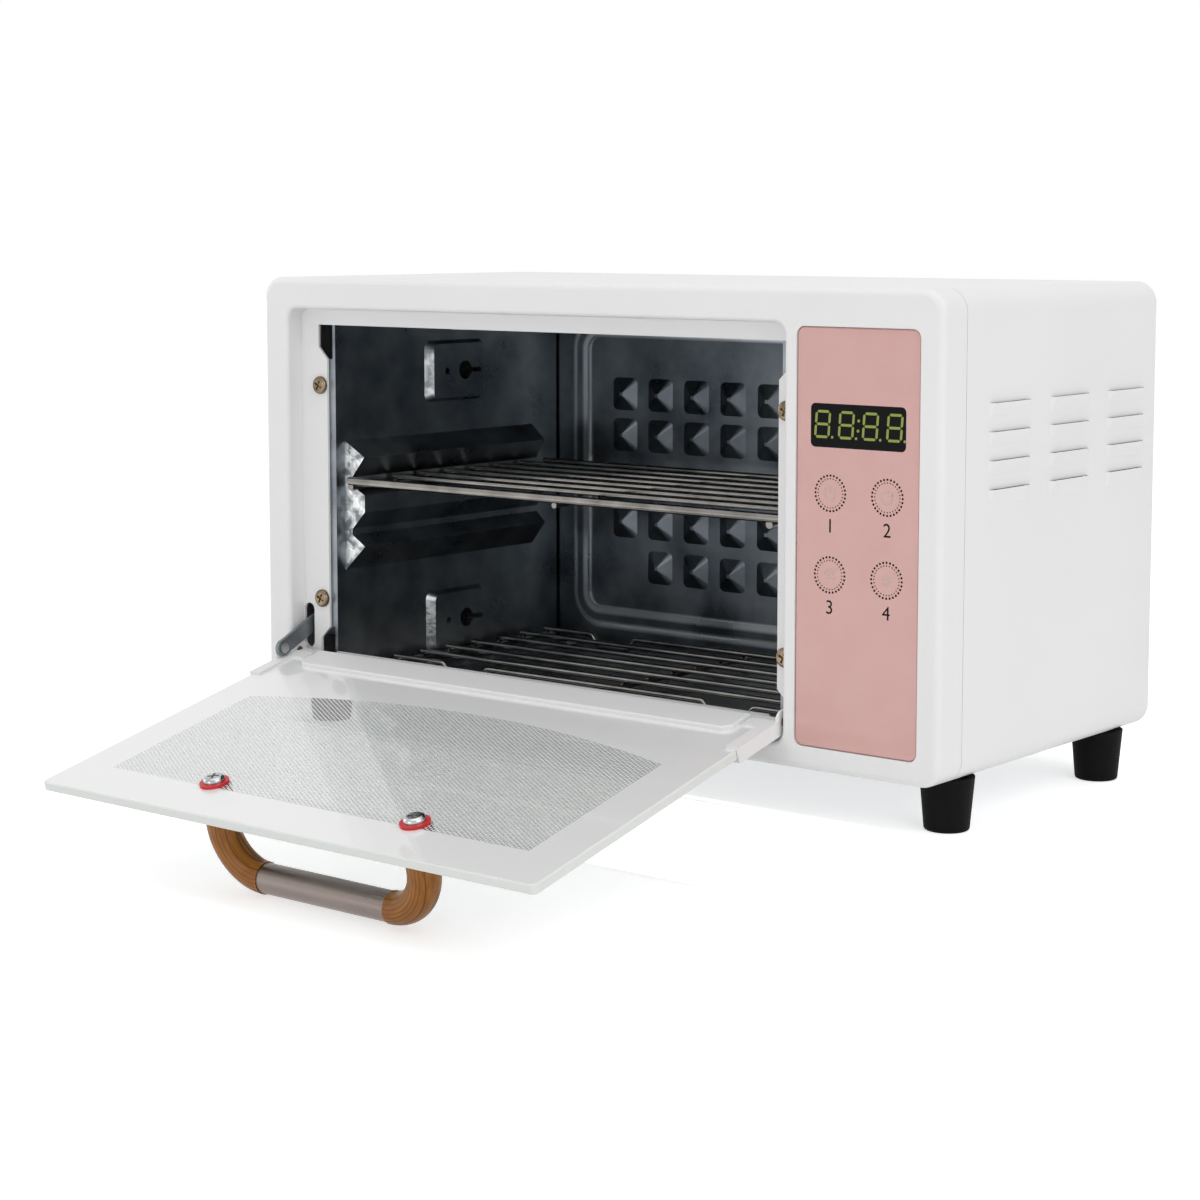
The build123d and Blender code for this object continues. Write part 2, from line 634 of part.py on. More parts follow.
def rail_block(mirror):
    """The pressed rails, with ends that slope back to the wall."""
    wall = CAVITY_X0 if mirror > 0 else CAVITY_X1
    front = RAIL_Y0 if mirror > 0 else RAIL_RIGHT_Y0
    length = RAIL_Y1 - front
    solid = Pos(0, RAIL_Y1, 0) * extrude(Plane.XZ * rail_face(mirror), amount=length)
    slope = [
        (wall - mirror * PAST, front),
        (wall + mirror * RAIL_PEAK, front + RAIL_END_SLOPE),
        (wall + mirror * RAIL_PEAK, RAIL_Y1 - RAIL_END_SLOPE),
        (wall - mirror * PAST, RAIL_Y1),
    ]
    keep = Pos(0, 0, RAIL_FLOOR_Z - PAST) * extrude(
        make_face(Polyline(*slope, close=True)), amount=RAIL_TOP_Z - RAIL_FLOOR_Z + 2 * PAST
    )
    y0 = front + RAIL_END_WALL
    y1 = RAIL_Y1 - RAIL_END_WALL
    inside = Plane.XZ * offset(rail_face(mirror), -LINER_SHEET)
    hollow = Pos(0, y1, 0) * extrude(inside, amount=y1 - y0)
    back = block(
        wall - mirror * 2 * PAST,
        wall + mirror * RAIL_BACK_DEPTH,
        y0,
        y1,
        RAIL_FLOOR_Z + RAIL_BACK_MARGIN,
        RAIL_TOP_Z - RAIL_BACK_MARGIN,
    )
    return solid & keep, hollow + back


def liner_side(mirror):
    """One side wall of the cavity. mirror is 1 on the left and -1 on the right."""
    wall = CAVITY_X0 if mirror > 0 else CAVITY_X1
    outside = wall - mirror * LINER_SHEET
    y0 = LINER_Y0
    y1 = LINER_Y1
    sheet = block(outside, wall, y0, y1, CAVITY_Z0, CAVITY_Z1)
    flange_x = (MOUTH_X0 - FLANGE_REACH) if mirror > 0 else (MOUTH_X1 + FLANGE_REACH)
    sheet += block(flange_x, wall, y0, y0 + LINER_SHEET, FLANGE_Z0, FLANGE_Z1)
    for x, z in ledge_screw_places():
        sheet -= rod_y(FLANGE_HOLE_R, y0 - PAST, y0 + LINER_SHEET + PAST, x, z)
    field_y = (y0 - 2 * FIELD_R, y1 - FIELD_MARGIN)
    field_z = (CAVITY_Z0 + FIELD_MARGIN / 4, CAVITY_Z1 - FIELD_MARGIN)
    field = RectangleRounded(field_y[1] - field_y[0], field_z[1] - field_z[0], FIELD_R)
    field = Plane.YZ * Pos((field_y[0] + field_y[1]) / 2, (field_z[0] + field_z[1]) / 2) * field
    raised = extrude(Pos(wall - mirror * 0.1, 0, 0) * field, amount=mirror * (FIELD_H + 0.1))
    sheet += raised & block(CAVITY_X0 - LINER_SHEET, CAVITY_X1 + LINER_SHEET, y0, y1, CAVITY_Z0, CAVITY_Z1)
    rail, rail_hollow = rail_block(mirror)
    sheet = sheet + rail - rail_hollow
    for z0, z1 in PAD_Z:
        sheet += wall_pad(wall, mirror, z0, z1)
        zc = (z0 + z1) / 2
        for y, r in ((KEYHOLE_Y, KEYHOLE_R), (PILOT_Y, PILOT_R)):
            sheet -= rod_x(r, wall - mirror * 2 * PAST, wall + mirror * (PAD_H + PAST), y, zc)
        sheet -= block(
            wall - mirror * 2 * PAST,
            wall + mirror * (PAD_H + PAST),
            KEYHOLE_Y,
            KEYHOLE_SLOT_END,
            zc - KEYHOLE_SLOT_W / 2,
            zc + KEYHOLE_SLOT_W / 2,
        )
    return sheet


def wall_pad(wall, mirror, z0, z1):
    """A raised pad on the wall with sloping sides."""
    yc = (PAD_Y0 + PAD_Y1) / 2
    zc = (z0 + z1) / 2
    length = PAD_Y1 - PAD_Y0
    base = Plane.YZ * Pos(yc, zc) * RectangleRounded(length, z1 - z0, PAD_FOOT_R)
    top = Plane.YZ * Pos(yc, zc) * RectangleRounded(length - 2 * PAD_H, z1 - z0 - PAD_H, PAD_CORNER_R)
    return loft([Pos(wall, 0, 0) * base, Pos(wall + mirror * PAD_H, 0, 0) * top])


def liner_top():
    y0 = LINER_Y0
    y1 = LINER_Y1
    x0 = CAVITY_X0 - LINER_SHEET
    x1 = CAVITY_X1 + LINER_SHEET
    sheet = block(x0, x1, y0, y1, CAVITY_Z1, CAVITY_Z1 + LINER_SHEET)
    front = block(x0, x1, y0 + LINER_SHEET, y0 + 2 * LINER_SHEET, MOUTH_Z1 + TOP_FLANGE_GAP, CAVITY_Z1)
    return sheet + (front & block(CAVITY_X0, CAVITY_X1, 0, CASE_D, 0, CASE_H))


def liner_floor():
    """The cavity's floor, with two low ribs that the lower rack rests on."""
    y0 = LINER_Y0
    y1 = LINER_Y1
    x0 = CAVITY_X0 - LINER_SHEET
    x1 = CAVITY_X1 + LINER_SHEET
    sheet = block(x0, x1, y0, y1, CAVITY_Z0 - LINER_SHEET, CAVITY_Z0)
    half = FLOOR_RIB_W / 2
    top = CAVITY_Z0 + FLOOR_RIB_H
    for x in (CAVITY_X0 + FLOOR_RIB_INSET, CAVITY_X1 - FLOOR_RIB_INSET):
        rib = block(x - half, x + half, y0 + FLOOR_RIB_END, y1 - FLOOR_RIB_END, CAVITY_Z0, top)
        sheet += chamfer(rib.edges().group_by(Axis.Z)[-1], FLOOR_RIB_H * 0.6)
    return sheet


def foot(x, y):
    """A tapered rubber foot with a stepped bore: a wide one for a peg and above it the screw head's."""
    body = Pos(x, y, -FOOT_H / 2) * Cone(FOOT_BOTTOM_R, FOOT_TOP_R, FOOT_H)
    body = fillet(body.edges().group_by(Axis.Z)[0], FOOT_EDGE_R)
    body -= rod_z(FOOT_BORE_R, -FOOT_H - PAST, -FOOT_H + FOOT_BORE_DEPTH, x, y)
    body -= rod_z(FOOT_POCKET_R, -FOOT_H, -FOOT_H + FOOT_POCKET_DEPTH, x, y)
    body -= rod_z(FOOT_SCREW_R, -FOOT_H, PAST, x, y)
    return body


def foot_screws():
    screws = []
    seat = -FOOT_H + FOOT_POCKET_DEPTH
    for x, y in foot_places():
        shank = rod_z(FOOT_SCREW_R, seat, 2 * CASE_SHEET + FOOT_SCREW_END, x, y)
        head = rod_z(FOOT_HEAD_R, seat - FOOT_HEAD_H, seat, x, y)
        slot = Box(FOOT_SLOT_L, FOOT_SLOT_W, 2 * FOOT_SLOT_DEPTH)
        screws.append(shank + head - Pos(x, y, seat - FOOT_HEAD_H) * slot)
    return Compound(children=screws)


def pan_screw(head_r, head_h, shank_r, shank_length):
    """A cross-head screw that points along -Z, with its head's underside at z = 0."""
    head = Cylinder(head_r, head_h, align=(Align.CENTER, Align.CENTER, Align.MIN))
    head = fillet(head.edges().group_by(Axis.Z)[-1], head_h * 0.7)
    shank = Cylinder(shank_r, shank_length, align=(Align.CENTER, Align.CENTER, Align.MAX))
    slot = Pos(0, 0, head_h) * Box(head_r * 1.1, head_r * 0.24, head_h * 0.9)
    return head + shank - slot - Rot(Z=90) * slot


def ledge_screws():
    """The four screws on the recess floor, beside the mouth."""
    screw = Rot(X=90) * pan_screw(LEDGE_HEAD_R, LEDGE_HEAD_H, SCREW_SHANK_R, LEDGE_SCREW_LENGTH)
    screw = Rot(Y=LEDGE_SCREW_TURN) * screw
    return Compound(children=[Pos(x, RECESS_D, z) * screw for x, z in ledge_screw_places()])


def rear_screws():
    screw = Rot(X=-90) * pan_screw(REAR_HEAD_R, REAR_HEAD_H, SCREW_SHANK_R, REAR_SCREW_LENGTH)
    y = CASE_D + REAR_SHEET
    return Compound(children=[Pos(s * REAR_SCREW_X, y, z) * screw for s in (-1, 1) for z in REAR_SCREW_Z])


def dipped_wire(x0, x1, y, z):
    """A cross wire that dips to the cavity's floor on both sides of the middle, as the rack's feet."""
    low = CAVITY_Z0 + RACK_WIRE_R + RACK_CLEARANCE
    points = [(x0, z)]
    for start, end in (
        (RACK_DIP_X0, RACK_DIP_X1),
        (2 * CAVITY_CX - RACK_DIP_X1, 2 * CAVITY_CX - RACK_DIP_X0),
    ):
        points += [(start, z), (start + RACK_DIP_SLOPE, low), (end - RACK_DIP_SLOPE, low), (end, z)]
    points.append((x1, z))
    path = Pos(0, y, 0) * (Plane.XZ * FilletPolyline(*points, radius=RACK_DIP_BEND))
    return sweep(Plane(origin=path @ 0, z_dir=path % 0) * Circle(RACK_WIRE_R), path=path)


def rack(z, x0, x1, dipped=()):
    """A wire rack: side rods, a thick front rod, cross wires and a middle rod, all welded."""
    side_z = z
    wire_z = side_z + RACK_SIDE_R + RACK_WIRE_R - RACK_WELD
    front_z = side_z + RACK_SIDE_R + RACK_FRONT_R - RACK_FRONT_SINK
    first = RACK_Y0 + RACK_GAP_Y
    last = first + (RACK_WIRES - 1) * RACK_PITCH
    wires = rod_x(RACK_FRONT_R, x0 - RACK_SIDE_R, x1 + RACK_FRONT_REACH, RACK_Y0, front_z)
    for i in range(RACK_WIRES):
        y = first + i * RACK_PITCH
        if i in dipped:
            wires += dipped_wire(x0 - RACK_SIDE_R, x1 + RACK_SIDE_R, y, wire_z)
        else:
            wires += rod_x(RACK_WIRE_R, x0 - RACK_SIDE_R, x1 + RACK_SIDE_R, y, wire_z)
    for x, r in ((x0, RACK_SIDE_R), (x1, RACK_SIDE_R), (CAVITY_CX + RACK_ROD_X, RACK_ROD_R)):
        wires += rod_y(r, RACK_Y0 - RACK_SIDE_R / 2, last + RACK_ROD_END, x, side_z)
    return wires


def rack_seat_z():
    """Height of a side rod's axis where it rests just clear of the rail's sloping groove floor."""
    fall = GROOVE_FLOOR_Z - BULGE_TOP_Z
    run = RAIL_PEAK - RAIL_GROOVE
    share = (RACK_SIDE_INSET - RAIL_GROOVE) / run
    slope = atan2(fall, run)
    return GROOVE_FLOOR_Z - share * fall + (RACK_SIDE_R + RACK_CLEARANCE) / cos(slope)


def upper_rack():
    return rack(rack_seat_z(), CAVITY_X0 + RACK_SIDE_INSET, CAVITY_X1 - RACK_SIDE_INSET)


def lower_rack():
    """The rack on the floor. Its first and last cross wires dip as feet."""
    z = CAVITY_Z0 + FLOOR_RIB_H + RACK_SIDE_R + RACK_CLEARANCE
    return rack(z, CAVITY_X0 + RACK_SIDE_INSET, CAVITY_X1 - RACK_SIDE_INSET, (0, RACK_WIRES - 1))


def opened(shape):
    """Takes a piece from the upright door's frame, with the hinge axis on X, to the open door."""
    return Pos(0, HINGE_Y, HINGE_Z) * Rot(X=DOOR_OPEN_DEG) * shape


def handle_screw_x():
    return (GLASS_CX - HANDLE_X, GLASS_CX + HANDLE_X)


def door_glass():
    face = GLASS_FACE
    glass = rounded_prism(GLASS_X0, GLASS_X1, GLASS_HEEL, GLASS_TIP, GLASS_CORNER_R, face - GLASS_T, face)
    rims = edges_at_y(glass, face, GLASS_X0 - PAST, GLASS_X1 + PAST)
    rims += edges_at_y(glass, face - GLASS_T, GLASS_X0 - PAST, GLASS_X1 + PAST)
    glass = chamfer(rims, GLASS_EDGE)
    for x in handle_screw_x():
        glass -= rod_y(HANDLE_SCREW_R, face - GLASS_T - PAST, face + PAST, x, HANDLE_U)
    return glass


def hinge_rail():
    """The white strip over the glass along the hinge, with cut front corners."""
    x0, x1 = HINGE_RAIL_X0, HINGE_RAIL_X1
    c = HINGE_RAIL_CHAMFER
    points = [
        (x0, HINGE_RAIL_U0),
        (x1, HINGE_RAIL_U0),
        (x1, HINGE_RAIL_U1 - c),
        (x1 - c, HINGE_RAIL_U1),
        (x0 + c, HINGE_RAIL_U1),
        (x0, HINGE_RAIL_U1 - c),
    ]
    top = GLASS_FACE + HINGE_RAIL_H
    strip = front_prism(points, GLASS_FACE, top)
    strip = fillet(strip.edges().filter_by(lambda e: abs(e.center().Y - top) < 0.01), HINGE_RAIL_EDGE_R)
    return strip


def hinge_bracket(side):
    """A folded clip round the glass's side edge. side is -1 on the left and 1 on the right."""
    edge = GLASS_X1 if side > 0 else GLASS_X0
    inner = edge + side * BRACKET_GAP
    outer = inner + side * BRACKET_SHEET
    top = GLASS_FACE + BRACKET_SHEET
    under = GLASS_FACE - GLASS_T - BRACKET_SEAT_GAP
    low = under - BRACKET_SHEET
    cheek = block(inner, outer, low, top, 0, BRACKET_U1)
    heel = rod_x(BRACKET_R, min(inner, outer), max(inner, outer), 0, 0)
    heel_low = block(inner, outer, low, top, -BRACKET_R, 0)
    clip = cheek + (heel & (heel_low + cheek))
    clip += heel & block(inner, outer, -BRACKET_R, BRACKET_R, -BRACKET_R, BRACKET_R - BRACKET_FLAT)
    clip += block(edge - side * BRACKET_FLANGE, outer, GLASS_FACE, top, BRACKET_U0, BRACKET_U1)
    clip += block(edge - side * BRACKET_HEEL_W, outer, GLASS_FACE, top, BRACKET_U0, BRACKET_HEEL_U1)
    clip += block(edge - side * BRACKET_LIP, outer, low, under, BRACKET_U0, BRACKET_U1)
    if side < 0:
        tab = block(inner, outer, GLASS_FACE, LINK_W, LINK_U - LINK_TAB_R, LINK_U + LINK_TAB_R)
        tab += rod_x(LINK_TAB_R, min(inner, outer), max(inner, outer), LINK_W, LINK_U)
        clip += tab
        clip -= rod_x(RIVET_R, outer - PAST, inner + PAST, LINK_W, LINK_U)
    clip -= rod_x(PIN_R, min(inner, outer) - PAST, max(inner, outer) + PAST, 0, 0)
    return clip


def hinge_pins():
    """Two short pins, pressed in the clips, that turn in the recess's side walls."""
    pins = []
    for side, edge, wall in ((-1, GLASS_X0, RECESS_X0), (1, GLASS_X1, RECESS_X1)):
        start = edge + side * BRACKET_GAP
        end = wall + side * (FRAME_SHEET + PIN_END)
        pins.append(rod_x(PIN_R, start, end, 0, 0))
    return Compound(children=pins)


def link_rivet():
    """The rivet that ties the link arm to the left clip's tab."""
    inner = GLASS_X0 - BRACKET_GAP
    outer = inner - BRACKET_SHEET
    far = inner + ARM_GAP + ARM_T + ARM_GAP / 2
    shank = rod_x(RIVET_R, outer, far, LINK_W, LINK_U)
    head = rod_x(RIVET_HEAD_R, far, far + RIVET_HEAD_H, LINK_W, LINK_U)
    return shank + head


def link_place():
    """(y, z) of the rivet in the case frame with the door open, and the arm's fixed direction."""
    def turned(angle):
        a = radians(angle)
        y = HINGE_Y + LINK_W * cos(a) - LINK_U * sin(a)
        z = HINGE_Z + LINK_W * sin(a) + LINK_U * cos(a)
        return y, z

    y_open, z_open = turned(DOOR_OPEN_DEG)
    y_shut, z_shut = turned(0)
    return y_open, z_open, atan2(z_shut - z_open, y_shut - y_open)


def link_arm():
    """The flat bar that passes through the slot in the frame. It runs along its own line."""
    y, z, angle = link_place()
    x0 = GLASS_X0 - BRACKET_GAP + ARM_GAP
    half = ARM_WIDTH / 2
    bar = block(x0, x0 + ARM_T, 0, ARM_LENGTH, -half, half)
    bar += rod_x(half, x0, x0 + ARM_T, 0, 0)
    bar += rod_x(half, x0, x0 + ARM_T, ARM_LENGTH, 0)
    bar -= rod_x(RIVET_R + RIVET_CLEARANCE, x0 - PAST, x0 + ARM_T + PAST, 0, 0)
    bar -= rod_x(ARM_EYE_R, x0 - PAST, x0 + ARM_T + PAST, ARM_LENGTH, 0)
    return Pos(0, y, z) * Rot(X=degrees(angle)) * bar


def arm_tail():
    """(x, y, z) of the eye at the arm's rear end."""
    y, z, angle = link_place()
    x = GLASS_X0 - BRACKET_GAP + ARM_GAP + ARM_T / 2
    return x, y + ARM_LENGTH * cos(angle), z + ARM_LENGTH * sin(angle)


def link_spring():
    """The tension spring below the arm's tail, one unbroken wire from its lower to its upper end."""
    x, y, z = arm_tail()
    z0 = 2 * CASE_SHEET + SPRING_FOOT_H
    z1 = z - ARM_WIDTH / 2 - SPRING_GAP
    pitch = (z1 - z0) / SPRING_TURNS
    gap = pitch - 2 * SPRING_WIRE_R
    print(f"link spring: pitch {pitch:.2f} mm, least gap between turns {gap:.2f} mm")
    path = Helix(pitch=pitch, height=z1 - z0, radius=SPRING_R)
    start = Plane(origin=path @ 0, z_dir=path % 0)
    coil = sweep(start * Circle(SPRING_WIRE_R), path=path, is_frenet=True)
    return Pos(x, y, z0) * coil


def spring_anchor():
    """A small post on the base that holds the spring's lower end."""
    x, y, _ = arm_tail()
    z0 = 2 * CASE_SHEET
    half = ANCHOR_FOOT / 2
    plate = block(x - half, x + half, y - half, y + half, z0, z0 + ANCHOR_SHEET)
    return plate + rod_z(ANCHOR_POST_R, z0, z0 + ANCHOR_POST_H, x, y)


def link_guide():
    """A bracket behind the frame with a roller pin just under the arm."""
    y, z, angle = link_place()
    drop = ARM_WIDTH / 2 + GUIDE_GAP + GUIDE_R
    py = y + GUIDE_DISTANCE * cos(angle) + drop * sin(angle)
    pz = z + GUIDE_DISTANCE * sin(angle) - drop * cos(angle)
    x1 = GLASS_X0 - BRACKET_GAP + ARM_GAP + ARM_T
    x2 = CAVITY_X0 - LINER_SHEET
    pin = rod_x(GUIDE_R, x1 - GUIDE_OVERHANG, x2, py, pz)
    half = GUIDE_PLATE / 2
    return pin + block(x2 - GUIDE_SHEET, x2, py - half, py + half, pz - half, pz + half)


def handle_end(side):
    """One bent end of the handle: a straight leg from the glass, then a quarter bend to the sleeve."""
    x = GLASS_CX + side * HANDLE_X
    start = GLASS_FACE - GLASS_T
    bend = -HANDLE_DROP + HANDLE_BEND_R
    leg = Line((x, start, HANDLE_U), (x, bend, HANDLE_U))
    centre = (x - side * HANDLE_BEND_R, -HANDLE_DROP, HANDLE_U)
    turn = RadiusArc(leg @ 1, centre, side * HANDLE_BEND_R)
    if abs((turn % 0).Y + 1) > 0.01:
        turn = RadiusArc(leg @ 1, centre, -side * HANDLE_BEND_R)
    path = leg + turn
    section = Plane(origin=leg @ 0, z_dir=leg % 0) * Circle(HANDLE_GRIP_R)
    grip = sweep(section, path=path)
    grip -= rod_y(HANDLE_SCREW_R, start - HANDLE_SCREW_DEPTH, start + PAST, x, HANDLE_U)
    return grip


def handle_sleeve():
    reach = HANDLE_X - HANDLE_BEND_R
    return rod_x(SLEEVE_R, GLASS_CX - reach, GLASS_CX + reach, -HANDLE_DROP, HANDLE_U)


def handle_washers():
    washers = []
    for x in handle_screw_x():
        ring = rod_y(WASHER_R, GLASS_FACE, GLASS_FACE + WASHER_T, x, HANDLE_U)
        ring -= rod_y(HANDLE_SCREW_R, GLASS_FACE - PAST, GLASS_FACE + WASHER_T + PAST, x, HANDLE_U)
        washers.append(ring)
    return Compound(children=washers)


def handle_screws():
    length = WASHER_T + GLASS_T + HANDLE_SCREW_DEPTH - HANDLE_SCREW_SPARE
    screw = Rot(X=-90) * pan_screw(HANDLE_HEAD_R, HANDLE_HEAD_H, HANDLE_SCREW_R, length)
    screw = Rot(Y=HANDLE_SCREW_TURN) * screw
    return Compound(children=[Pos(x, GLASS_FACE + WASHER_T, HANDLE_U) * screw for x in handle_screw_x()])


def control_panel():
    """The glossy front plate, with a window for the display."""
    g = PANEL_GAP
    y0 = POCKET_D - PANEL_T
    y1 = POCKET_D
    plate = rounded_prism(
        POCKET_X0 + g, POCKET_X1 - g, POCKET_Z0 + g, POCKET_Z1 - g, POCKET_CORNER_R - g, y0, y1
    )
    plate = chamfer(edges_at_y(plate, y0, POCKET_X0, POCKET_X1), PANEL_EDGE)
    plate -= rounded_prism(WINDOW_X0, WINDOW_X1, WINDOW_Z0, WINDOW_Z1, WINDOW_R, y0 - PAST, y1 + PAST)
    return plate


def display_window():
    g = WINDOW_GAP
    y0 = POCKET_D - PANEL_T
    y1 = POCKET_D
    return rounded_prism(WINDOW_X0 + g, WINDOW_X1 - g, WINDOW_Z0 + g, WINDOW_Z1 - g, WINDOW_R - g, y0, y1)


def display_module():
    m = MODULE_INSET
    return block(WINDOW_X0 + m, WINDOW_X1 - m, POCKET_D, BOARD_Y, WINDOW_Z0 + m, WINDOW_Z1 - m)


def control_board():
    m = BOARD_MARGIN - STANDOFF_R
    board = block(POCKET_X0 + m, POCKET_X1 - m, BOARD_Y, BOARD_Y + BOARD_T, POCKET_Z0 + m, POCKET_Z1 - m)
    for x, z in standoff_places():
        board -= rod_y(SCREW_SHANK_R, BOARD_Y - PAST, BOARD_Y + BOARD_T + PAST, x, z)
    return board


def board_standoffs():
    y0 = POCKET_D + FRAME_SHEET
    posts = []
    for x, z in standoff_places():
        post = rod_y(STANDOFF_R, y0, BOARD_Y, x, z)
        posts.append(post - rod_y(SCREW_SHANK_R, y0 + STANDOFF_FLOOR, BOARD_Y + PAST, x, z))
    return Compound(children=posts)


def board_screws():
    screw = Rot(X=-90) * pan_screw(BOARD_HEAD_R, BOARD_HEAD_H, SCREW_SHANK_R, BOARD_SCREW_LENGTH)
    y = BOARD_Y + BOARD_T
    return Compound(children=[Pos(x, y, z) * screw for x, z in standoff_places()])


def touch_pads():
    """The four sprung electrodes between the board and the back of the panel."""
    pads = []
    for x in KEY_X:
        for z in KEY_Z:
            pad = rod_y(KEY_PAD_R, POCKET_D, BOARD_Y, x, z)
            hollow = rod_y(KEY_PAD_R - KEY_PAD_WALL, POCKET_D + KEY_PAD_FACE, BOARD_Y + PAST, x, z)
            pads.append(pad - hollow)
    return Compound(children=pads)


def power_board():
    return block(PCB_X0, PCB_X1, PCB_Y0, PCB_Y1, PCB_Z, PCB_Z + BOARD_T)


def power_standoffs():
    posts = []
    for x in (PCB_X0 + BOARD_MARGIN, PCB_X1 - BOARD_MARGIN):
        for y in (PCB_Y0 + BOARD_MARGIN, PCB_Y1 - BOARD_MARGIN):
            posts.append(rod_z(STANDOFF_R, 2 * CASE_SHEET, PCB_Z, x, y))
    return Compound(children=posts)


def on_board(x, y, width, depth, height, lift=0.0):
    """A block on the power board, placed from the board's front left corner."""
    x0 = PCB_X0 + x
    y0 = PCB_Y0 + y
    z0 = PCB_Z + BOARD_T + lift
    return block(x0, x0 + width, y0, y0 + depth, z0, z0 + height)


def transformer():
    return on_board(*TRANSFORMER_CORE) + on_board(*TRANSFORMER_COIL, lift=TRANSFORMER_COIL_LIFT)


def relays():
    x, y, *size = RELAY
    return Compound(children=[on_board(x + i * RELAY_PITCH, y, *size) for i in range(RELAY_COUNT)])


def capacitors():
    z0 = PCB_Z + BOARD_T
    x = PCB_X0 + CAPACITOR_X
    cans = []
    for i in range(CAPACITOR_COUNT):
        y = PCB_Y0 + (i + 1) * CAPACITOR_PITCH
        cans.append(rod_z(CAPACITOR_R, z0, z0 + CAPACITOR_H, x, y))
    return Compound(children=cans)


def terminal_block():
    x, y, width, depth, height = TERMINAL
    top = PCB_Z + BOARD_T + height
    body = on_board(*TERMINAL)
    for share in (0.25, 0.75):
        hole_x = PCB_X0 + x + width * share
        body -= rod_z(TERMINAL_HOLE_R, top - height / 2, top + PAST, hole_x, PCB_Y0 + y + depth / 2)
    return body


def lamp_ballast():
    x0 = CAVITY_X1 + LINER_SHEET
    return block(x0, x0 + BALLAST_W, *BALLAST_Y, *BALLAST_Z)


def uv_lamp():
    """The germicidal tube under the cavity's ceiling."""
    reach = LAMP_LENGTH / 2
    return rod_x(LAMP_R, CAVITY_CX - reach, CAVITY_CX + reach, LAMP_Y, LAMP_Z)


def lamp_caps():
    caps = []
    for side in (-1, 1):
        x0 = CAVITY_CX + side * LAMP_LENGTH / 2
        caps.append(rod_x(LAMP_CAP_R, x0, x0 + side * LAMP_CAP_LENGTH, LAMP_Y, LAMP_Z))
    return Compound(children=caps)


def lamp_holders():
    reach = LAMP_LENGTH / 2 + LAMP_CAP_LENGTH
    holders = []
    for side in (-1, 1):
        x0 = CAVITY_CX + side * reach
        x1 = x0 + side * HOLDER_W
        y0 = LAMP_Y - HOLDER_D / 2
        holders.append(block(x0, x1, y0, y0 + HOLDER_D, LAMP_Z - HOLDER_D / 2, CAVITY_Z1))
    return Compound(children=holders)


def drying_heater():
    """A thin mica heater under the cavity's floor."""
    z1 = CAVITY_Z0 - LINER_SHEET
    half = HEATER_W / 2
    return block(CAVITY_CX - half, CAVITY_CX + half, *HEATER_Y, z1 - HEATER_T, z1)


def thermal_cutout():
    """A round thermal switch with two ears, on the outside of the cavity's right wall."""
    x0 = CAVITY_X1 + LINER_SHEET
    can = rod_x(CUTOUT_R, x0, x0 + CUTOUT_H, CUTOUT_Y, CUTOUT_Z)
    ear = CUTOUT_R * 1.5
    half = CUTOUT_R / 2
    x1 = x0 + CUTOUT_EAR_T
    return can + block(x0, x1, CUTOUT_Y - ear, CUTOUT_Y + ear, CUTOUT_Z - half, CUTOUT_Z + half)


def cord_gland():
    """The strain relief in the rear panel, with its own bore. The cord isn't modelled."""
    y0 = CASE_D - GLAND_DEPTH
    y1 = CASE_D + REAR_SHEET
    y2 = y1 + GLAND_HEAD_T
    body = rod_y(GLAND_R, y0, y2, GLAND_X, GLAND_Z)
    body += rod_y(GLAND_HEAD_R, y1, y2, GLAND_X, GLAND_Z)
    return body - rod_y(GLAND_BORE_R, y0 - PAST, y2 + PAST, GLAND_X, GLAND_Z)


def save(name, shape):
    """Writes one piece with the origin at the centre of the feet, on the surface they stand on."""
    shape = Pos(0, -FEET_CY, FOOT_H) * shape
    export_step(shape, f"parts/{name}.step")


os.makedirs("parts", exist_ok=True)

FIXED = {
    "front_frame": front_frame(),
    "outer_case": outer_case(),
    "base_plate": base_plate(),
    "rear_panel": rear_panel(),
    "liner_left": liner_side(1),
    "liner_right": liner_side(-1),
    "liner_top": liner_top(),
    "liner_floor": liner_floor(),
    "foot_front_left": foot(-FOOT_X, FOOT_FRONT_Y),
    "foot_front_right": foot(FOOT_X, FOOT_FRONT_Y),
    "foot_rear_left": foot(-FOOT_X, FOOT_REAR_Y),
    "foot_rear_right": foot(FOOT_X, FOOT_REAR_Y),
    "foot_screws": foot_screws(),
    "ledge_screws": ledge_screws(),
    "rear_screws": rear_screws(),
    "upper_rack": upper_rack(),
    "lower_rack": lower_rack(),
    "link_arm": link_arm(),
    "link_spring": link_spring(),
    "link_guide": link_guide(),
    "spring_anchor": spring_anchor(),
    "control_panel": control_panel(),
    "display_window": display_window(),
    "display_module": display_module(),
    "control_board": control_board(),
    "board_standoffs": board_standoffs(),
    "board_screws": board_screws(),
    "touch_pads": touch_pads(),
    "power_board": power_board(),
    "power_standoffs": power_standoffs(),
    "transformer": transformer(),
    "relays": relays(),
    "capacitors": capacitors(),
    "terminal_block": terminal_block(),
    "lamp_ballast": lamp_ballast(),
    "uv_lamp": uv_lamp(),
    "lamp_caps": lamp_caps(),
    "lamp_holders": lamp_holders(),
    "drying_heater": drying_heater(),
    "thermal_cutout": thermal_cutout(),
    "cord_gland": cord_gland(),
}

DOOR = {
    "door_glass": door_glass(),
    "hinge_rail": hinge_rail(),
    "hinge_bracket_left": hinge_bracket(-1),
    "hinge_bracket_right": hinge_bracket(1),
    "hinge_pins": hinge_pins(),
    "link_rivet": link_rivet(),
    "handle_left_end": handle_end(-1),
    "handle_right_end": handle_end(1),
    "handle_sleeve": handle_sleeve(),
    "handle_washers": handle_washers(),
    "handle_screws": handle_screws(),
}

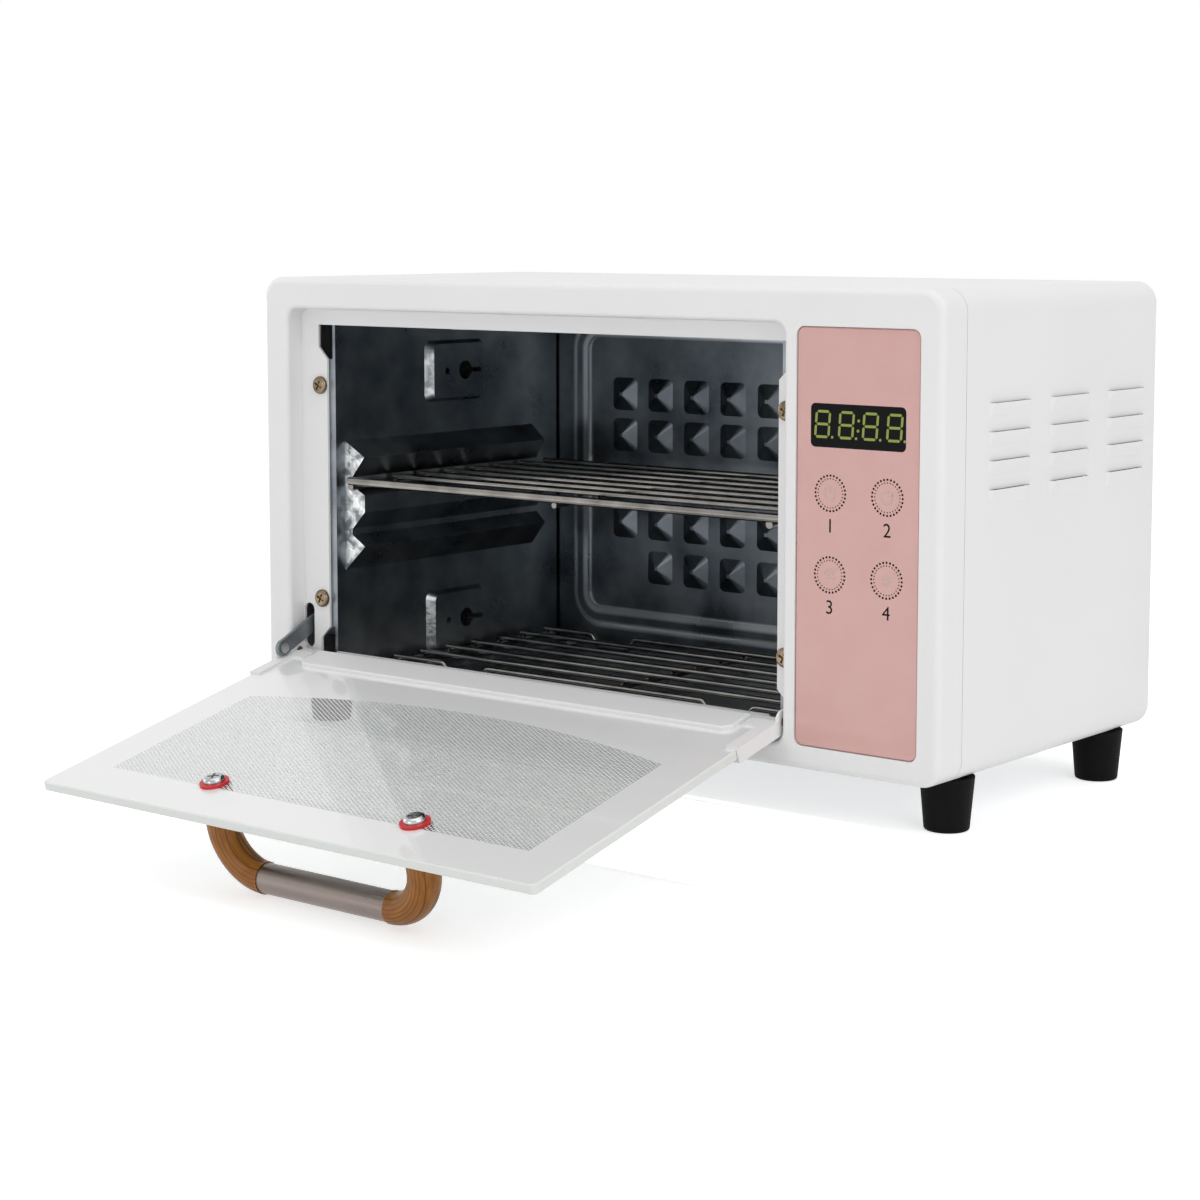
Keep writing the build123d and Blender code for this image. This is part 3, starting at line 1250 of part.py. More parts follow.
for node, piece in FIXED.items():
    save(node, piece)
for node, piece in DOOR.items():
    save(node, opened(piece))
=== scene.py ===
import json
import math

import bmesh
import bpy
from mathutils import Matrix, Vector


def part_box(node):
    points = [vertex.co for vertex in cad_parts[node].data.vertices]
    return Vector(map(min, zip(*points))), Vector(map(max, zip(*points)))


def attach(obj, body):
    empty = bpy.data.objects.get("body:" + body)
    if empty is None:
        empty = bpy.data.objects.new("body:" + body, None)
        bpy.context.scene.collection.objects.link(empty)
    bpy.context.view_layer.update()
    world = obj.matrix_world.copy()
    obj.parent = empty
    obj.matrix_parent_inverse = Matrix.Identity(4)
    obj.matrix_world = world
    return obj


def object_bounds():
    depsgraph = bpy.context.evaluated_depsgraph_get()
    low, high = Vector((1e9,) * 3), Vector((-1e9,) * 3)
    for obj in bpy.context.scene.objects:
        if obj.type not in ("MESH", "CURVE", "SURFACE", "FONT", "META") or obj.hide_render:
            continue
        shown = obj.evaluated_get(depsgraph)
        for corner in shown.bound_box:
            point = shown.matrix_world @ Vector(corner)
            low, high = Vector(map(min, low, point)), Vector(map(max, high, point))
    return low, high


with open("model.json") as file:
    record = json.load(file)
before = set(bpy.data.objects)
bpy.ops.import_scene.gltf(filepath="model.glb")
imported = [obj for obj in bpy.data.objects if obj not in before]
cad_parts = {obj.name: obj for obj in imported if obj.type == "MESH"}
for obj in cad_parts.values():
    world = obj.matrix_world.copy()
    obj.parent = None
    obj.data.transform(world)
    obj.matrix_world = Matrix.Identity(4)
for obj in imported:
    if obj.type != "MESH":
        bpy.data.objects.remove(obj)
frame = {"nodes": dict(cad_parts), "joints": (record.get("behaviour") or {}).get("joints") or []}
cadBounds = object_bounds()
nodes = frame["nodes"]
mm = 0.001
print("frame loaded:", len(nodes), "nodes")

# The door's own frame: x across, y out of the inner face when shut, z up from the hinge.
hinge = next(joint for joint in frame["joints"] if joint["name"] == "door_hinge")
hingeAxis = (0, hinge["pos_m"][1], hinge["pos_m"][2])
hingeTurn = math.radians(hinge["range_deg"][1])
doorPlace = Matrix.Translation(hingeAxis) @ Matrix.Rotation(hingeTurn, 4, "X")


# Colours are written as sRGB hex and turned to linear here.
def hexColor(text):
    parts = [int(text[i : i + 2], 16) / 255 for i in (0, 2, 4)]
    linear = [c / 12.92 if c <= 0.04045 else ((c + 0.055) / 1.055) ** 2.4 for c in parts]
    return (*linear, 1.0)


# Adds one node, with its settings and its sockets. A socket takes a value, another node's socket, or a
# node, whose first output is then used.
def addNode(tree, kind, inputs=None, **settings):
    node = tree.nodes.new(kind)
    for key, value in settings.items():
        setattr(node, key, value)
    for key, value in (inputs or {}).items():
        socket = node.inputs[key]
        if isinstance(value, bpy.types.Node):
            value = value.outputs[0]
        if isinstance(value, bpy.types.NodeSocket):
            tree.links.new(value, socket)
        else:
            socket.default_value = value
    return node


mathKind = "ShaderNodeMath"
rangeKind = "ShaderNodeMapRange"
mixKind = "ShaderNodeMix"
splitKind = "ShaderNodeSeparateXYZ"
mappingKind = "ShaderNodeMapping"

socketNames = {
    "base": "Base Color",
    "metal": "Metallic",
    "rough": "Roughness",
    "ior": "IOR",
    "coat": "Coat Weight",
    "coatRough": "Coat Roughness",
    "glass": "Transmission Weight",
    "specular": "Specular IOR Level",
    "glow": "Emission Strength",
    "glowColor": "Emission Color",
}


def startMaterial(name, **shader):
    material = bpy.data.materials.new(name)
    material.use_nodes = True
    tree = material.node_tree
    surface = tree.nodes["Principled BSDF"]
    for key, value in shader.items():
        surface.inputs[socketNames[key]].default_value = value
    place = addNode(tree, "ShaderNodeTexCoord").outputs["Object"]
    return material, tree, surface, place


# Most of what a noise gives lies in this span.
noiseSpan = (0.3, 0.7)


# Noise whose grain has a size in millimetres.
def grainPattern(tree, place, grain, detail=2.0, stretch=(1, 1, 1)):
    scaled = addNode(tree, mappingKind, {"Vector": place, "Scale": stretch})
    return addNode(
        tree, "ShaderNodeTexNoise", {"Vector": scaled, "Scale": 1 / (grain * mm), "Detail": detail}
    ).outputs["Fac"]


# A colour that wanders between two hex colours with a pattern.
def cloudyColor(tree, pattern, colors):
    limits = {"Value": pattern, "From Min": noiseSpan[0], "From Max": noiseSpan[1]}
    share = addNode(tree, rangeKind, limits)
    ends = {0: share, 6: hexColor(colors[0]), 7: hexColor(colors[1])}
    return addNode(tree, mixKind, ends, data_type="RGBA").outputs[2]


def roughen(tree, surface, pattern, rough, span=noiseSpan):
    limits = {"Value": pattern, "From Min": span[0], "From Max": span[1]}
    limits.update({"To Min": rough[0], "To Max": rough[1]})
    tree.links.new(addNode(tree, rangeKind, limits).outputs[0], surface.inputs["Roughness"])


def addBump(tree, surface, height, depth, strength):
    bump = addNode(tree, "ShaderNodeBump", {"Height": height, "Distance": depth * mm, "Strength": strength})
    tree.links.new(bump.outputs[0], surface.inputs["Normal"])


# Turns a place or a direction into the shut door's frame, so that a look can follow the door.
def intoDoor(tree, vector, start):
    inputs = {"Vector": vector, "Location": start, "Rotation": (hingeTurn, 0, 0)}
    turned = addNode(tree, mappingKind, inputs, vector_type="TEXTURE")
    return addNode(tree, splitKind, {0: turned}).outputs


coatGrain = {"cloud": 90, "peel": 1.3, "rough": (0.36, 0.5), "depth": 0.05, "strength": 0.35}


# Powder coat: baked on sheet steel, so it has a fine orange-peel grain and a satin shine.
def powderCoat(name, colors):
    size = coatGrain
    material, tree, surface, place = startMaterial(name)
    cloud = grainPattern(tree, place, size["cloud"])
    tree.links.new(cloudyColor(tree, cloud, colors), surface.inputs["Base Color"])
    peel = grainPattern(tree, place, size["peel"], 3)
    roughen(tree, surface, peel, size["rough"])
    addBump(tree, surface, peel, size["depth"], size["strength"])
    return material


# Sheet, bar and wire metals: rolled or drawn, with a faint grain along one way and cloudy patches.
def sheetMetal(name, colors, rough, cloudSize=25, stretch=(1, 1, 1), grain=0.8, metal=1.0, depth=0.01):
    material, tree, surface, place = startMaterial(name, metal=metal)
    cloud = grainPattern(tree, place, cloudSize, 4)
    fine = grainPattern(tree, place, grain, 2, stretch)
    tree.links.new(cloudyColor(tree, cloud, colors), surface.inputs["Base Color"])
    both = addNode(tree, mathKind, {0: cloud, 1: fine}, operation="ADD")
    # Two noises are added, so their span is wider.
    roughen(tree, surface, both, rough, (0.7, 1.3))
    addBump(tree, surface, fine, depth, 0.4)
    return material


# Sizes in millimetres. The ring is a rounded frame round its middle, and its lines, painted highlights on
# its bends, lie inward of its edge.
pressedSheet = {
    # A painted highlight, in wrinkled streaks, on the faces that slope towards the mouth.
    "paintedHighlight": "DADBDB",
    "paintedHighlightDark": "6F7376",
    # A painted highlight along the ring's bends.
    "ringHighlight": "C3C7CA",
    "cloud": 24,
    "grain": 1.4,
    "grainStretch": (1, 1, 0.15),
    "grainHeight": 0.12,
    "wrinkle": 5.0,
    "wrinkleSpan": (0.4, 0.6),
    "bumpDepth": 0.4,
    "bumpStrength": 0.4,
    "rough": (0.24, 0.4),
    "slopeFacing": (-0.45, -0.8),
    "slopeShare": (0.75, 1.0),
    "slopes": (-73.0, 20.0),
    "ringMiddle": (-22.1, 109.6),
    "ringHalf": (94.4, 59.3),
    "ringCorner": 16.0,
    "ringLines": (0.6, 7.8),
    "lineCore": 0.8,
    "lineEdge": 2.4,
    "ringStart": 60,
}


# One on the two bends of the rear wall's pressed ring, where a painted highlight lightens the sheet.
def ringLines(tree, place):
    size = pressedSheet
    spot = addNode(tree, splitKind, {0: place}).outputs
    squares = []
    for socket, middle, half in zip((spot[0], spot[2]), size["ringMiddle"], size["ringHalf"]):
        away = addNode(tree, mathKind, {0: socket, 1: middle * mm}, operation="SUBTRACT")
        away = addNode(tree, mathKind, {0: away}, operation="ABSOLUTE")
        past = addNode(tree, mathKind, {0: away, 1: half * mm}, operation="SUBTRACT")
        past = addNode(tree, mathKind, {0: past, 1: 0.0}, operation="MAXIMUM")
        squares.append(addNode(tree, mathKind, {0: past, 1: past}, operation="MULTIPLY"))
    reach = addNode(tree, mathKind, {0: squares[0], 1: squares[1]}, operation="ADD")
    reach = addNode(tree, mathKind, {0: reach}, operation="SQRT")
    inward = addNode(tree, mathKind, {0: size["ringCorner"] * mm, 1: reach}, operation="SUBTRACT")
    lines = []
    for line in size["ringLines"]:
        near = addNode(tree, mathKind, {0: inward, 1: line * mm}, operation="SUBTRACT")
        near = addNode(tree, mathKind, {0: near}, operation="ABSOLUTE")
        limits = {"Value": near, "From Min": size["lineCore"] * mm, "From Max": size["lineEdge"] * mm}
        limits.update({"To Min": 1.0, "To Max": 0.0})
        lines.append(addNode(tree, rangeKind, limits))
    either = addNode(tree, mathKind, {0: lines[0], 1: lines[1]}, operation="MAXIMUM")
    deep = addNode(tree, mathKind, {0: spot[1], 1: size["ringStart"] * mm}, operation="GREATER_THAN")
    return addNode(tree, mathKind, {0: either, 1: deep}, operation="MULTIPLY")


# Aluminised sheet: dark and cloudy where flat, with a painted highlight in wrinkled streaks on the faces
# that slope towards the mouth and on the rear wall's ring.
def pressedSteel(name, colors):
    size = pressedSheet
    material, tree, surface, place = startMaterial(name, metal=1.0)
    cloud = grainPattern(tree, place, size["cloud"], 4)
    fine = grainPattern(tree, place, size["grain"], 2, size["grainStretch"])
    normal = addNode(tree, "ShaderNodeTexCoord").outputs["Normal"]
    facing = addNode(tree, splitKind, {0: normal}).outputs[1]
    # Painted highlight: faces turned towards the mouth, between these depths, get a bright base colour in
    # place of the lamps' glints.
    start, end = size["slopeFacing"]
    highlightMask = addNode(tree, rangeKind, {"Value": facing, "From Min": start, "From Max": end})
    limits = {"Value": cloud, "From Min": noiseSpan[0], "From Max": noiseSpan[1]}
    limits.update({"To Min": size["slopeShare"][0], "To Max": size["slopeShare"][1]})
    highlightMask = addNode(tree, mathKind, {0: highlightMask, 1: addNode(tree, rangeKind, limits)}, operation="MULTIPLY")
    deep = addNode(tree, splitKind, {0: place}).outputs[1]
    for operation, limit in zip(("GREATER_THAN", "LESS_THAN"), size["slopes"]):
        within = addNode(tree, mathKind, {0: deep, 1: limit * mm}, operation=operation)
        highlightMask = addNode(tree, mathKind, {0: highlightMask, 1: within}, operation="MULTIPLY")
    wrinkle = grainPattern(tree, place, size["wrinkle"], 3)
    start, end = size["wrinkleSpan"]
    folds = addNode(tree, rangeKind, {"Value": wrinkle, "From Min": start, "From Max": end})
    ends = {0: folds, 6: hexColor(size["paintedHighlightDark"]), 7: hexColor(size["paintedHighlight"])}
    paintedHighlight = addNode(tree, mixKind, ends, data_type="RGBA").outputs[2]
    ends = {0: highlightMask, 6: cloudyColor(tree, cloud, colors), 7: paintedHighlight}
    shade = addNode(tree, mixKind, ends, data_type="RGBA").outputs[2]
    # Painted highlight on the ring's bends.
    ends = {0: ringLines(tree, place), 6: shade, 7: hexColor(size["ringHighlight"])}
    shade = addNode(tree, mixKind, ends, data_type="RGBA").outputs[2]
    tree.links.new(shade, surface.inputs["Base Color"])
    roughen(tree, surface, cloud, size["rough"])
    scratches = addNode(tree, mathKind, {0: fine, 1: size["grainHeight"]}, operation="MULTIPLY")
    creases = addNode(tree, mathKind, {0: highlightMask, 1: folds}, operation="MULTIPLY")
    height = addNode(tree, mathKind, {0: scratches, 1: creases}, operation="ADD")
    addBump(tree, surface, height, size["bumpDepth"], size["bumpStrength"])
    return material


# Moulded plastics and rubber: an even colour with the mould's faint spark-eroded grain.
def mouldedPlastic(name, colors, rough, grain=0.6, depth=0.02, coat=0.0, specular=0.5):
    material, tree, surface, place = startMaterial(name, coat=coat, coatRough=0.08, specular=specular)
    fine = grainPattern(tree, place, grain, 3)
    cloud = grainPattern(tree, place, 15)
    tree.links.new(cloudyColor(tree, cloud, colors), surface.inputs["Base Color"])
    roughen(tree, surface, fine, rough)
    addBump(tree, surface, fine, depth, 0.3)
    return material


zincCrystals = {"size": 7, "dark": "8C9194", "pale": "B4B8BA", "rough": (0.35, 0.55), "depth": 0.01}


# Galvanised steel: zinc crystals a few millimetres wide, each with its own grey.
def galvanised(name):
    size = zincCrystals
    material, tree, surface, place = startMaterial(name, metal=0.9)
    spangle = addNode(tree, "ShaderNodeTexVoronoi", {"Vector": place, "Scale": 1 / (size["size"] * mm)})
    value = addNode(tree, "ShaderNodeSeparateColor", {"Color": spangle.outputs["Color"]})
    ends = {0: value, 6: hexColor(size["dark"]), 7: hexColor(size["pale"])}
    shade = addNode(tree, mixKind, ends, data_type="RGBA").outputs[2]
    tree.links.new(shade, surface.inputs["Base Color"])
    roughen(tree, surface, value, size["rough"], (0, 1))
    addBump(tree, surface, value, size["depth"], 0.2)
    return material


# Sizes in millimetres in the door's frame: the lines run round each bend at its own distance from it.
woodGrain = {
    "middle": -28.2,
    "bendSide": 34.5,
    "bendDrop": -17.4,
    "swirl": 15.0,
    "bend": 11.0,
    "spacing": 0.95,
    "pore": 0.7,
    "lengthways": 0.22,
    "lineSpan": (0.74, 0.98),
    "lineShare": (0.55, 1.0),
    "rough": (0.36, 0.5),
    "brown": "8A5216",
    "orange": "AD6F22",
    "line": "3A1E04",
}


# Wood-grain film: dark lines that follow the handle round its bend and close in loops, under satin lacquer.
def lacqueredWood(name):
    size = woodGrain
    material, tree, surface, place = startMaterial(name, coat=0.12, coatRough=0.25, specular=0.3)
    spot = intoDoor(tree, place, hingeAxis)
    side = addNode(tree, mathKind, {0: spot[0], 1: size["middle"] * mm}, operation="SUBTRACT")
    side = addNode(tree, mathKind, {0: side}, operation="ABSOLUTE")
    out = addNode(tree, mathKind, {0: side, 1: size["bendSide"] * mm}, operation="SUBTRACT")
    down = addNode(tree, mathKind, {0: spot[1], 1: size["bendDrop"] * mm}, operation="SUBTRACT")
    down = addNode(tree, mathKind, {0: down, 1: 0.0}, operation="MINIMUM")
    outSquare = addNode(tree, mathKind, {0: out, 1: out}, operation="MULTIPLY")
    downSquare = addNode(tree, mathKind, {0: down, 1: down}, operation="MULTIPLY")
    radius = addNode(tree, mathKind, {0: outSquare, 1: downSquare}, operation="ADD")
    radius = addNode(tree, mathKind, {0: radius}, operation="SQRT")
    along = addNode(tree, mathKind, {0: spot[1], 1: side}, operation="SUBTRACT")
    along = addNode(tree, mathKind, {0: along, 1: size["lengthways"]}, operation="MULTIPLY")
    flow = addNode(tree, "ShaderNodeCombineXYZ", {0: radius, 1: spot[2], 2: along}).outputs[0]
    swirl = grainPattern(tree, flow, size["swirl"], 1.0)
    swirl = addNode(tree, mathKind, {0: swirl, 1: size["bend"] * mm}, operation="MULTIPLY")
    phase = addNode(tree, mathKind, {0: radius, 1: swirl}, operation="ADD")
    phase = addNode(tree, mathKind, {0: phase, 1: 1 / (size["spacing"] * mm)}, operation="MULTIPLY")
    ridge = addNode(tree, mathKind, {0: phase, 1: 1.0}, operation="PINGPONG")
    fine = grainPattern(tree, flow, size["pore"], 3)
    start, end = size["lineSpan"]
    dark = addNode(tree, rangeKind, {"Value": ridge, "From Min": start, "From Max": end})
    limits = {"Value": fine, "From Min": noiseSpan[0], "From Max": noiseSpan[1]}
    limits.update({"To Min": size["lineShare"][0], "To Max": size["lineShare"][1]})
    line = addNode(tree, mathKind, {0: dark, 1: addNode(tree, rangeKind, limits)}, operation="MULTIPLY")
    body = cloudyColor(tree, fine, (size["brown"], size["orange"]))
    ends = {0: line, 6: body, 7: hexColor(size["line"])}
    shade = addNode(tree, mixKind, ends, data_type="RGBA").outputs[2]
    tree.links.new(shade, surface.inputs["Base Color"])
    roughen(tree, surface, fine, size["rough"])
    addBump(tree, surface, line, 0.03, 0.3)
    return material


boardTracks = {"size": 24, "gap": 0.03, "turn": (0.6, 0.4, 0.2), "colors": ("14502C", "1A5C33", "2E7A45")}


# Circuit board: green solder mask with lighter copper tracks under it.
def circuitBoard(name):
    size = boardTracks
    material, tree, surface, place = startMaterial(name, coat=0.3, rough=0.35)
    flat = addNode(tree, mappingKind, {"Vector": place, "Rotation": size["turn"]})
    look = {"Vector": flat, "Scale": 1 / (size["size"] * mm), "Mortar Size": size["gap"]}
    look.update(zip(("Color1", "Color2", "Mortar"), [hexColor(color) for color in size["colors"]]))
    brick = addNode(tree, "ShaderNodeTexBrick", look)
    tree.links.new(brick.outputs["Color"], surface.inputs["Base Color"])
    addBump(tree, surface, brick.outputs["Fac"], 0.03, 0.3)
    return material


glassHaze = {"size": 30, "spread": 0.02, "edgeTurn": 0.9, "edgeRough": 0.45}


# Clear glass: colourless, with a faint haze. The door's cut edges are ground to a matt grey.
def clearGlass(name, color, rough=0.0, groundEdge=None):
    size = glassHaze
    material, tree, surface, place = startMaterial(name, base=hexColor(color), glass=1.0, ior=1.5)
    limits = {"Value": grainPattern(tree, place, size["size"])}
    limits.update({"From Min": noiseSpan[0], "From Max": noiseSpan[1]})
    limits.update({"To Min": rough, "To Max": rough + size["spread"]})
    haze = addNode(tree, rangeKind, limits)
    if groundEdge:
        normal = addNode(tree, "ShaderNodeTexCoord").outputs["Normal"]
        flat = addNode(tree, mathKind, {0: intoDoor(tree, normal, (0, 0, 0))[1]}, operation="ABSOLUTE")
        ground = addNode(tree, mathKind, {0: flat, 1: size["edgeTurn"]}, operation="LESS_THAN")
        ends = {0: ground, 6: hexColor(color), 7: hexColor(groundEdge)}
        shade = addNode(tree, mixKind, ends, data_type="RGBA").outputs[2]
        tree.links.new(shade, surface.inputs["Base Color"])
        clear = addNode(tree, mathKind, {0: 1.0, 1: ground}, operation="SUBTRACT")
        tree.links.new(clear.outputs[0], surface.inputs["Transmission Weight"])
        matt = addNode(tree, mathKind, {0: ground, 1: size["edgeRough"]}, operation="MULTIPLY")
        haze = addNode(tree, mathKind, {0: haze, 1: matt}, operation="MAXIMUM")
    tree.links.new(haze.outputs[0], surface.inputs["Roughness"])
    return material


whiteCoat = powderCoat("white_powder_coat_on_steel", ("E6E6E6", "E9E9E9"))
darkSteel = pressedSteel("aluminised_steel_sheet_with_painted_highlights", ("70767C", "A0A6AA"))
# The rear wall's copy of the aluminised sheet is darker: painted shade at the back of the cavity.
shadedRearSteel = pressedSteel("aluminised_steel_rear_painted_shade_and_highlight", ("4A5056", "70767B"))
chromeWire = sheetMetal("chromed_steel_wire", ("A9ABAC", "C6C7C8"), (0.14, 0.24), 12)
rackWire = sheetMetal("nickel_plated_rack_wire", ("787571", "9A9692"), (0.14, 0.24), 12)
linkSteel = sheetMetal("grey_phosphated_steel", ("70767A", "848A8E"), (0.4, 0.52), 10, metal=0.6)
nickelScrew = sheetMetal("nickel_plated_screw", ("6A5D4C", "94836D"), (0.12, 0.2), 3)
sleeveSteel = sheetMetal(
    "brushed_dark_nickel_tube", ("8A7E79", "938883"), (0.26, 0.34), 60, (0.02, 1, 1), 0.5, depth=0.03
)
springSteel = sheetMetal("spring_steel_wire", ("77797B", "94979A"), (0.28, 0.4), 6)
copperPad = sheetMetal("copper_touch_pad", ("A8683E", "C58756"), (0.3, 0.45), 5)
zincSheet = galvanised("galvanised_steel_sheet")
woodFilm = lacqueredWood("wood_grain_lacquer")
boardGreen = circuitBoard("glass_epoxy_circuit_board")
blackRubber = mouldedPlastic(
    "black_moulded_rubber", ("050505", "090909"), (0.6, 0.75), 0.8, 0.04, specular=0.1
)
redRubber = mouldedPlastic("red_silicone_rubber", ("B81820", "CC222A"), (0.35, 0.5))
blackPlastic = mouldedPlastic("black_moulded_nylon", ("18191A", "222425"), (0.4, 0.6))
whitePlastic = mouldedPlastic("white_moulded_nylon", ("D9D8D2", "E6E5E0"), (0.4, 0.55))
pinkPanel = mouldedPlastic("pink_backed_acrylic", ("CE9F99", "D1A39D"), (0.2, 0.26), 2.0, 0.0, 0.6)
blackWindow = mouldedPlastic(
    "smoked_acrylic_window", ("050505", "0A0A0A"), (0.2, 0.3), 2.0, 0.0, specular=0.1
)
micaSheet = mouldedPlastic("mica_heater_sheet", ("8C7F58", "B0A377"), (0.35, 0.6), 4.0, 0.05)
doorGlass = clearGlass("clear_soda_lime_glass", "F2F6F4", groundEdge="DFE2DF")
lampGlass = clearGlass("quartz_lamp_glass", "E6EEF2", 0.05)

finishes = {
    whiteCoat: ["front_frame", "outer_case", "hinge_rail", "hinge_bracket_left", "hinge_bracket_right"],
    darkSteel: ["liner_left", "liner_right", "liner_top", "liner_floor"],
    shadedRearSteel: ["rear_panel"],
    linkSteel: ["link_arm"],
    nickelScrew: ["ledge_screws", "rear_screws", "hinge_pins", "foot_screws", "board_screws"],
    rackWire: ["upper_rack", "lower_rack"],
    sleeveSteel: ["handle_sleeve"],
    springSteel: ["link_spring"],
    copperPad: ["touch_pads"],
    zincSheet: ["base_plate", "link_guide", "spring_anchor", "lamp_caps"],
    woodFilm: ["handle_left_end", "handle_right_end"],
    boardGreen: ["control_board", "power_board"],
    blackRubber: ["foot_front_left", "foot_front_right", "foot_rear_left", "foot_rear_right"],
    redRubber: ["handle_washers"],
    blackPlastic: ["display_module", "transformer", "relays", "capacitors", "thermal_cutout", "cord_gland"],
    whitePlastic: ["board_standoffs", "power_standoffs", "terminal_block", "lamp_ballast", "lamp_holders"],
    pinkPanel: ["control_panel"],
    blackWindow: ["display_window"],
    micaSheet: ["drying_heater"],
    doorGlass: ["door_glass"],
    lampGlass: ["uv_lamp"],
    chromeWire: ["link_rivet", "handle_screws"],
}
for material, names in finishes.items():
    for name in names:
        nodes[name].data.materials.clear()
        nodes[name].data.materials.append(material)
print("materials given to", sum(len(names) for names in finishes.values()), "nodes")


def newPiece(name, mesh, body, material=None):
    piece = bpy.data.objects.new(name, mesh)
    bpy.context.scene.collection.objects.link(piece)
    if material:
        mesh.materials.clear()
        mesh.materials.append(material)
    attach(piece, body)
    return piece


# Sizes in millimetres in the door's frame. The dots stand in rows that cross at 120 degrees, and the edge
# of their field at the hinge side is arched.
doorPrint = {
    "left": -160.3,
    "right": 103.9,
    "heel": -1.9,
    "tip": 151.1,
    "height": 0.44,
    "cornerRadius": 2.2,
    "cornerSteps": 6,
    "meshLeft": -140.7,
    "meshRight": 84.1,
    "meshLow": 51.0,
    "meshHigh": 130.0,
    "arch": 15.7,
    "rowPitch": 1.475,
    "rowTurns": (0, 120, 240),
    "dotLevel": -0.15,
    "dotEdge": 0.3,
    "shadeCover": 0.6,
    "white": "EDEDED",
    # A dark tint in the gaps between the dots: painted shade of the shadowed floor seen through the glass.
    "gap": "2A2E31",
    "backHeight": 0.36,
    "backTo": 33.0,
    "backInset": 2.5,
}


# Ceramic print: baked on the glass, white at the border and staggered round dots inside it, with a dark
# half-clear tint in the gaps as painted shade of what lies under the door.
def ceramicPrint():
    size = doorPrint
    look = {"coat": 1.0, "coatRough": 0.02, "rough": 0.35}
    material, tree, surface, place = startMaterial("white_ceramic_print_with_painted_shade", **look)
    where = addNode(tree, "ShaderNodeUVMap", uv_map="printMap")
    whole = (size["right"] - size["left"], size["tip"] - size["heel"], 1)
    spot = addNode(tree, "ShaderNodeVectorMath", {0: where, 1: whole}, operation="MULTIPLY")
    across, upward = addNode(tree, splitKind, {0: spot}).outputs[:2]

    # One between two places, given in millimetres from the print's corner.
    def within(socket, low, high):
        above = addNode(tree, mathKind, {0: socket, 1: low}, operation="GREATER_THAN")
        below = addNode(tree, mathKind, {0: socket, 1: high}, operation="LESS_THAN")
        return addNode(tree, mathKind, {0: above, 1: below}, operation="MULTIPLY")

    sides = within(across, size["meshLeft"] - size["left"], size["meshRight"] - size["left"])
    half = (size["meshRight"] - size["meshLeft"]) / 2
    side = addNode(tree, mathKind, {0: across, 1: size["left"] - size["meshLeft"] - half}, operation="ADD")
    side = addNode(tree, mathKind, {0: side, 1: 1 / half}, operation="MULTIPLY")
    square = addNode(tree, mathKind, {0: side, 1: side}, operation="MULTIPLY")
    rise = addNode(tree, mathKind, {0: 1.0, 1: square}, operation="SUBTRACT")
    rise = addNode(tree, mathKind, {0: rise, 1: size["arch"]}, operation="MULTIPLY")
    arched = addNode(tree, mathKind, {0: upward, 1: rise}, operation="ADD")
    lowest = size["meshLow"] - size["heel"]
    lowEnd = addNode(tree, mathKind, {0: arched, 1: lowest}, operation="GREATER_THAN")
    highEnd = within(upward, 0.0, size["meshHigh"] - size["heel"])
    ends = addNode(tree, mathKind, {0: lowEnd, 1: highEnd}, operation="MULTIPLY")
    inside = addNode(tree, mathKind, {0: sides, 1: ends}, operation="MULTIPLY")
    reach = 2 * math.pi / size["rowPitch"]
    dots = None
    for turn in size["rowTurns"]:
        wave = (reach * math.cos(math.radians(turn)), reach * math.sin(math.radians(turn)), 0)
        phase = addNode(tree, "ShaderNodeVectorMath", {0: spot, 1: wave}, operation="DOT_PRODUCT")
        rows = addNode(tree, mathKind, {0: phase.outputs["Value"]}, operation="COSINE")
        dots = addNode(tree, mathKind, {0: dots, 1: rows}, operation="ADD") if dots else rows
    limits = {"Value": dots, "From Min": size["dotLevel"] - size["dotEdge"]}
    limits.update({"From Max": size["dotLevel"] + size["dotEdge"], "To Min": 1.0, "To Max": 0.0})
    gap = addNode(tree, mathKind, {0: addNode(tree, rangeKind, limits), 1: inside}, operation="MULTIPLY")
    colors = {0: gap, 6: hexColor(size["white"]), 7: hexColor(size["gap"])}
    shade = addNode(tree, mixKind, colors, data_type="RGBA").outputs[2]
    tree.links.new(shade, surface.inputs["Base Color"])
    limits = {"Value": gap, "From Min": 0.0, "From Max": 1.0, "To Min": 1.0, "To Max": size["shadeCover"]}
    tree.links.new(addNode(tree, rangeKind, limits).outputs[0], surface.inputs["Alpha"])
    return material


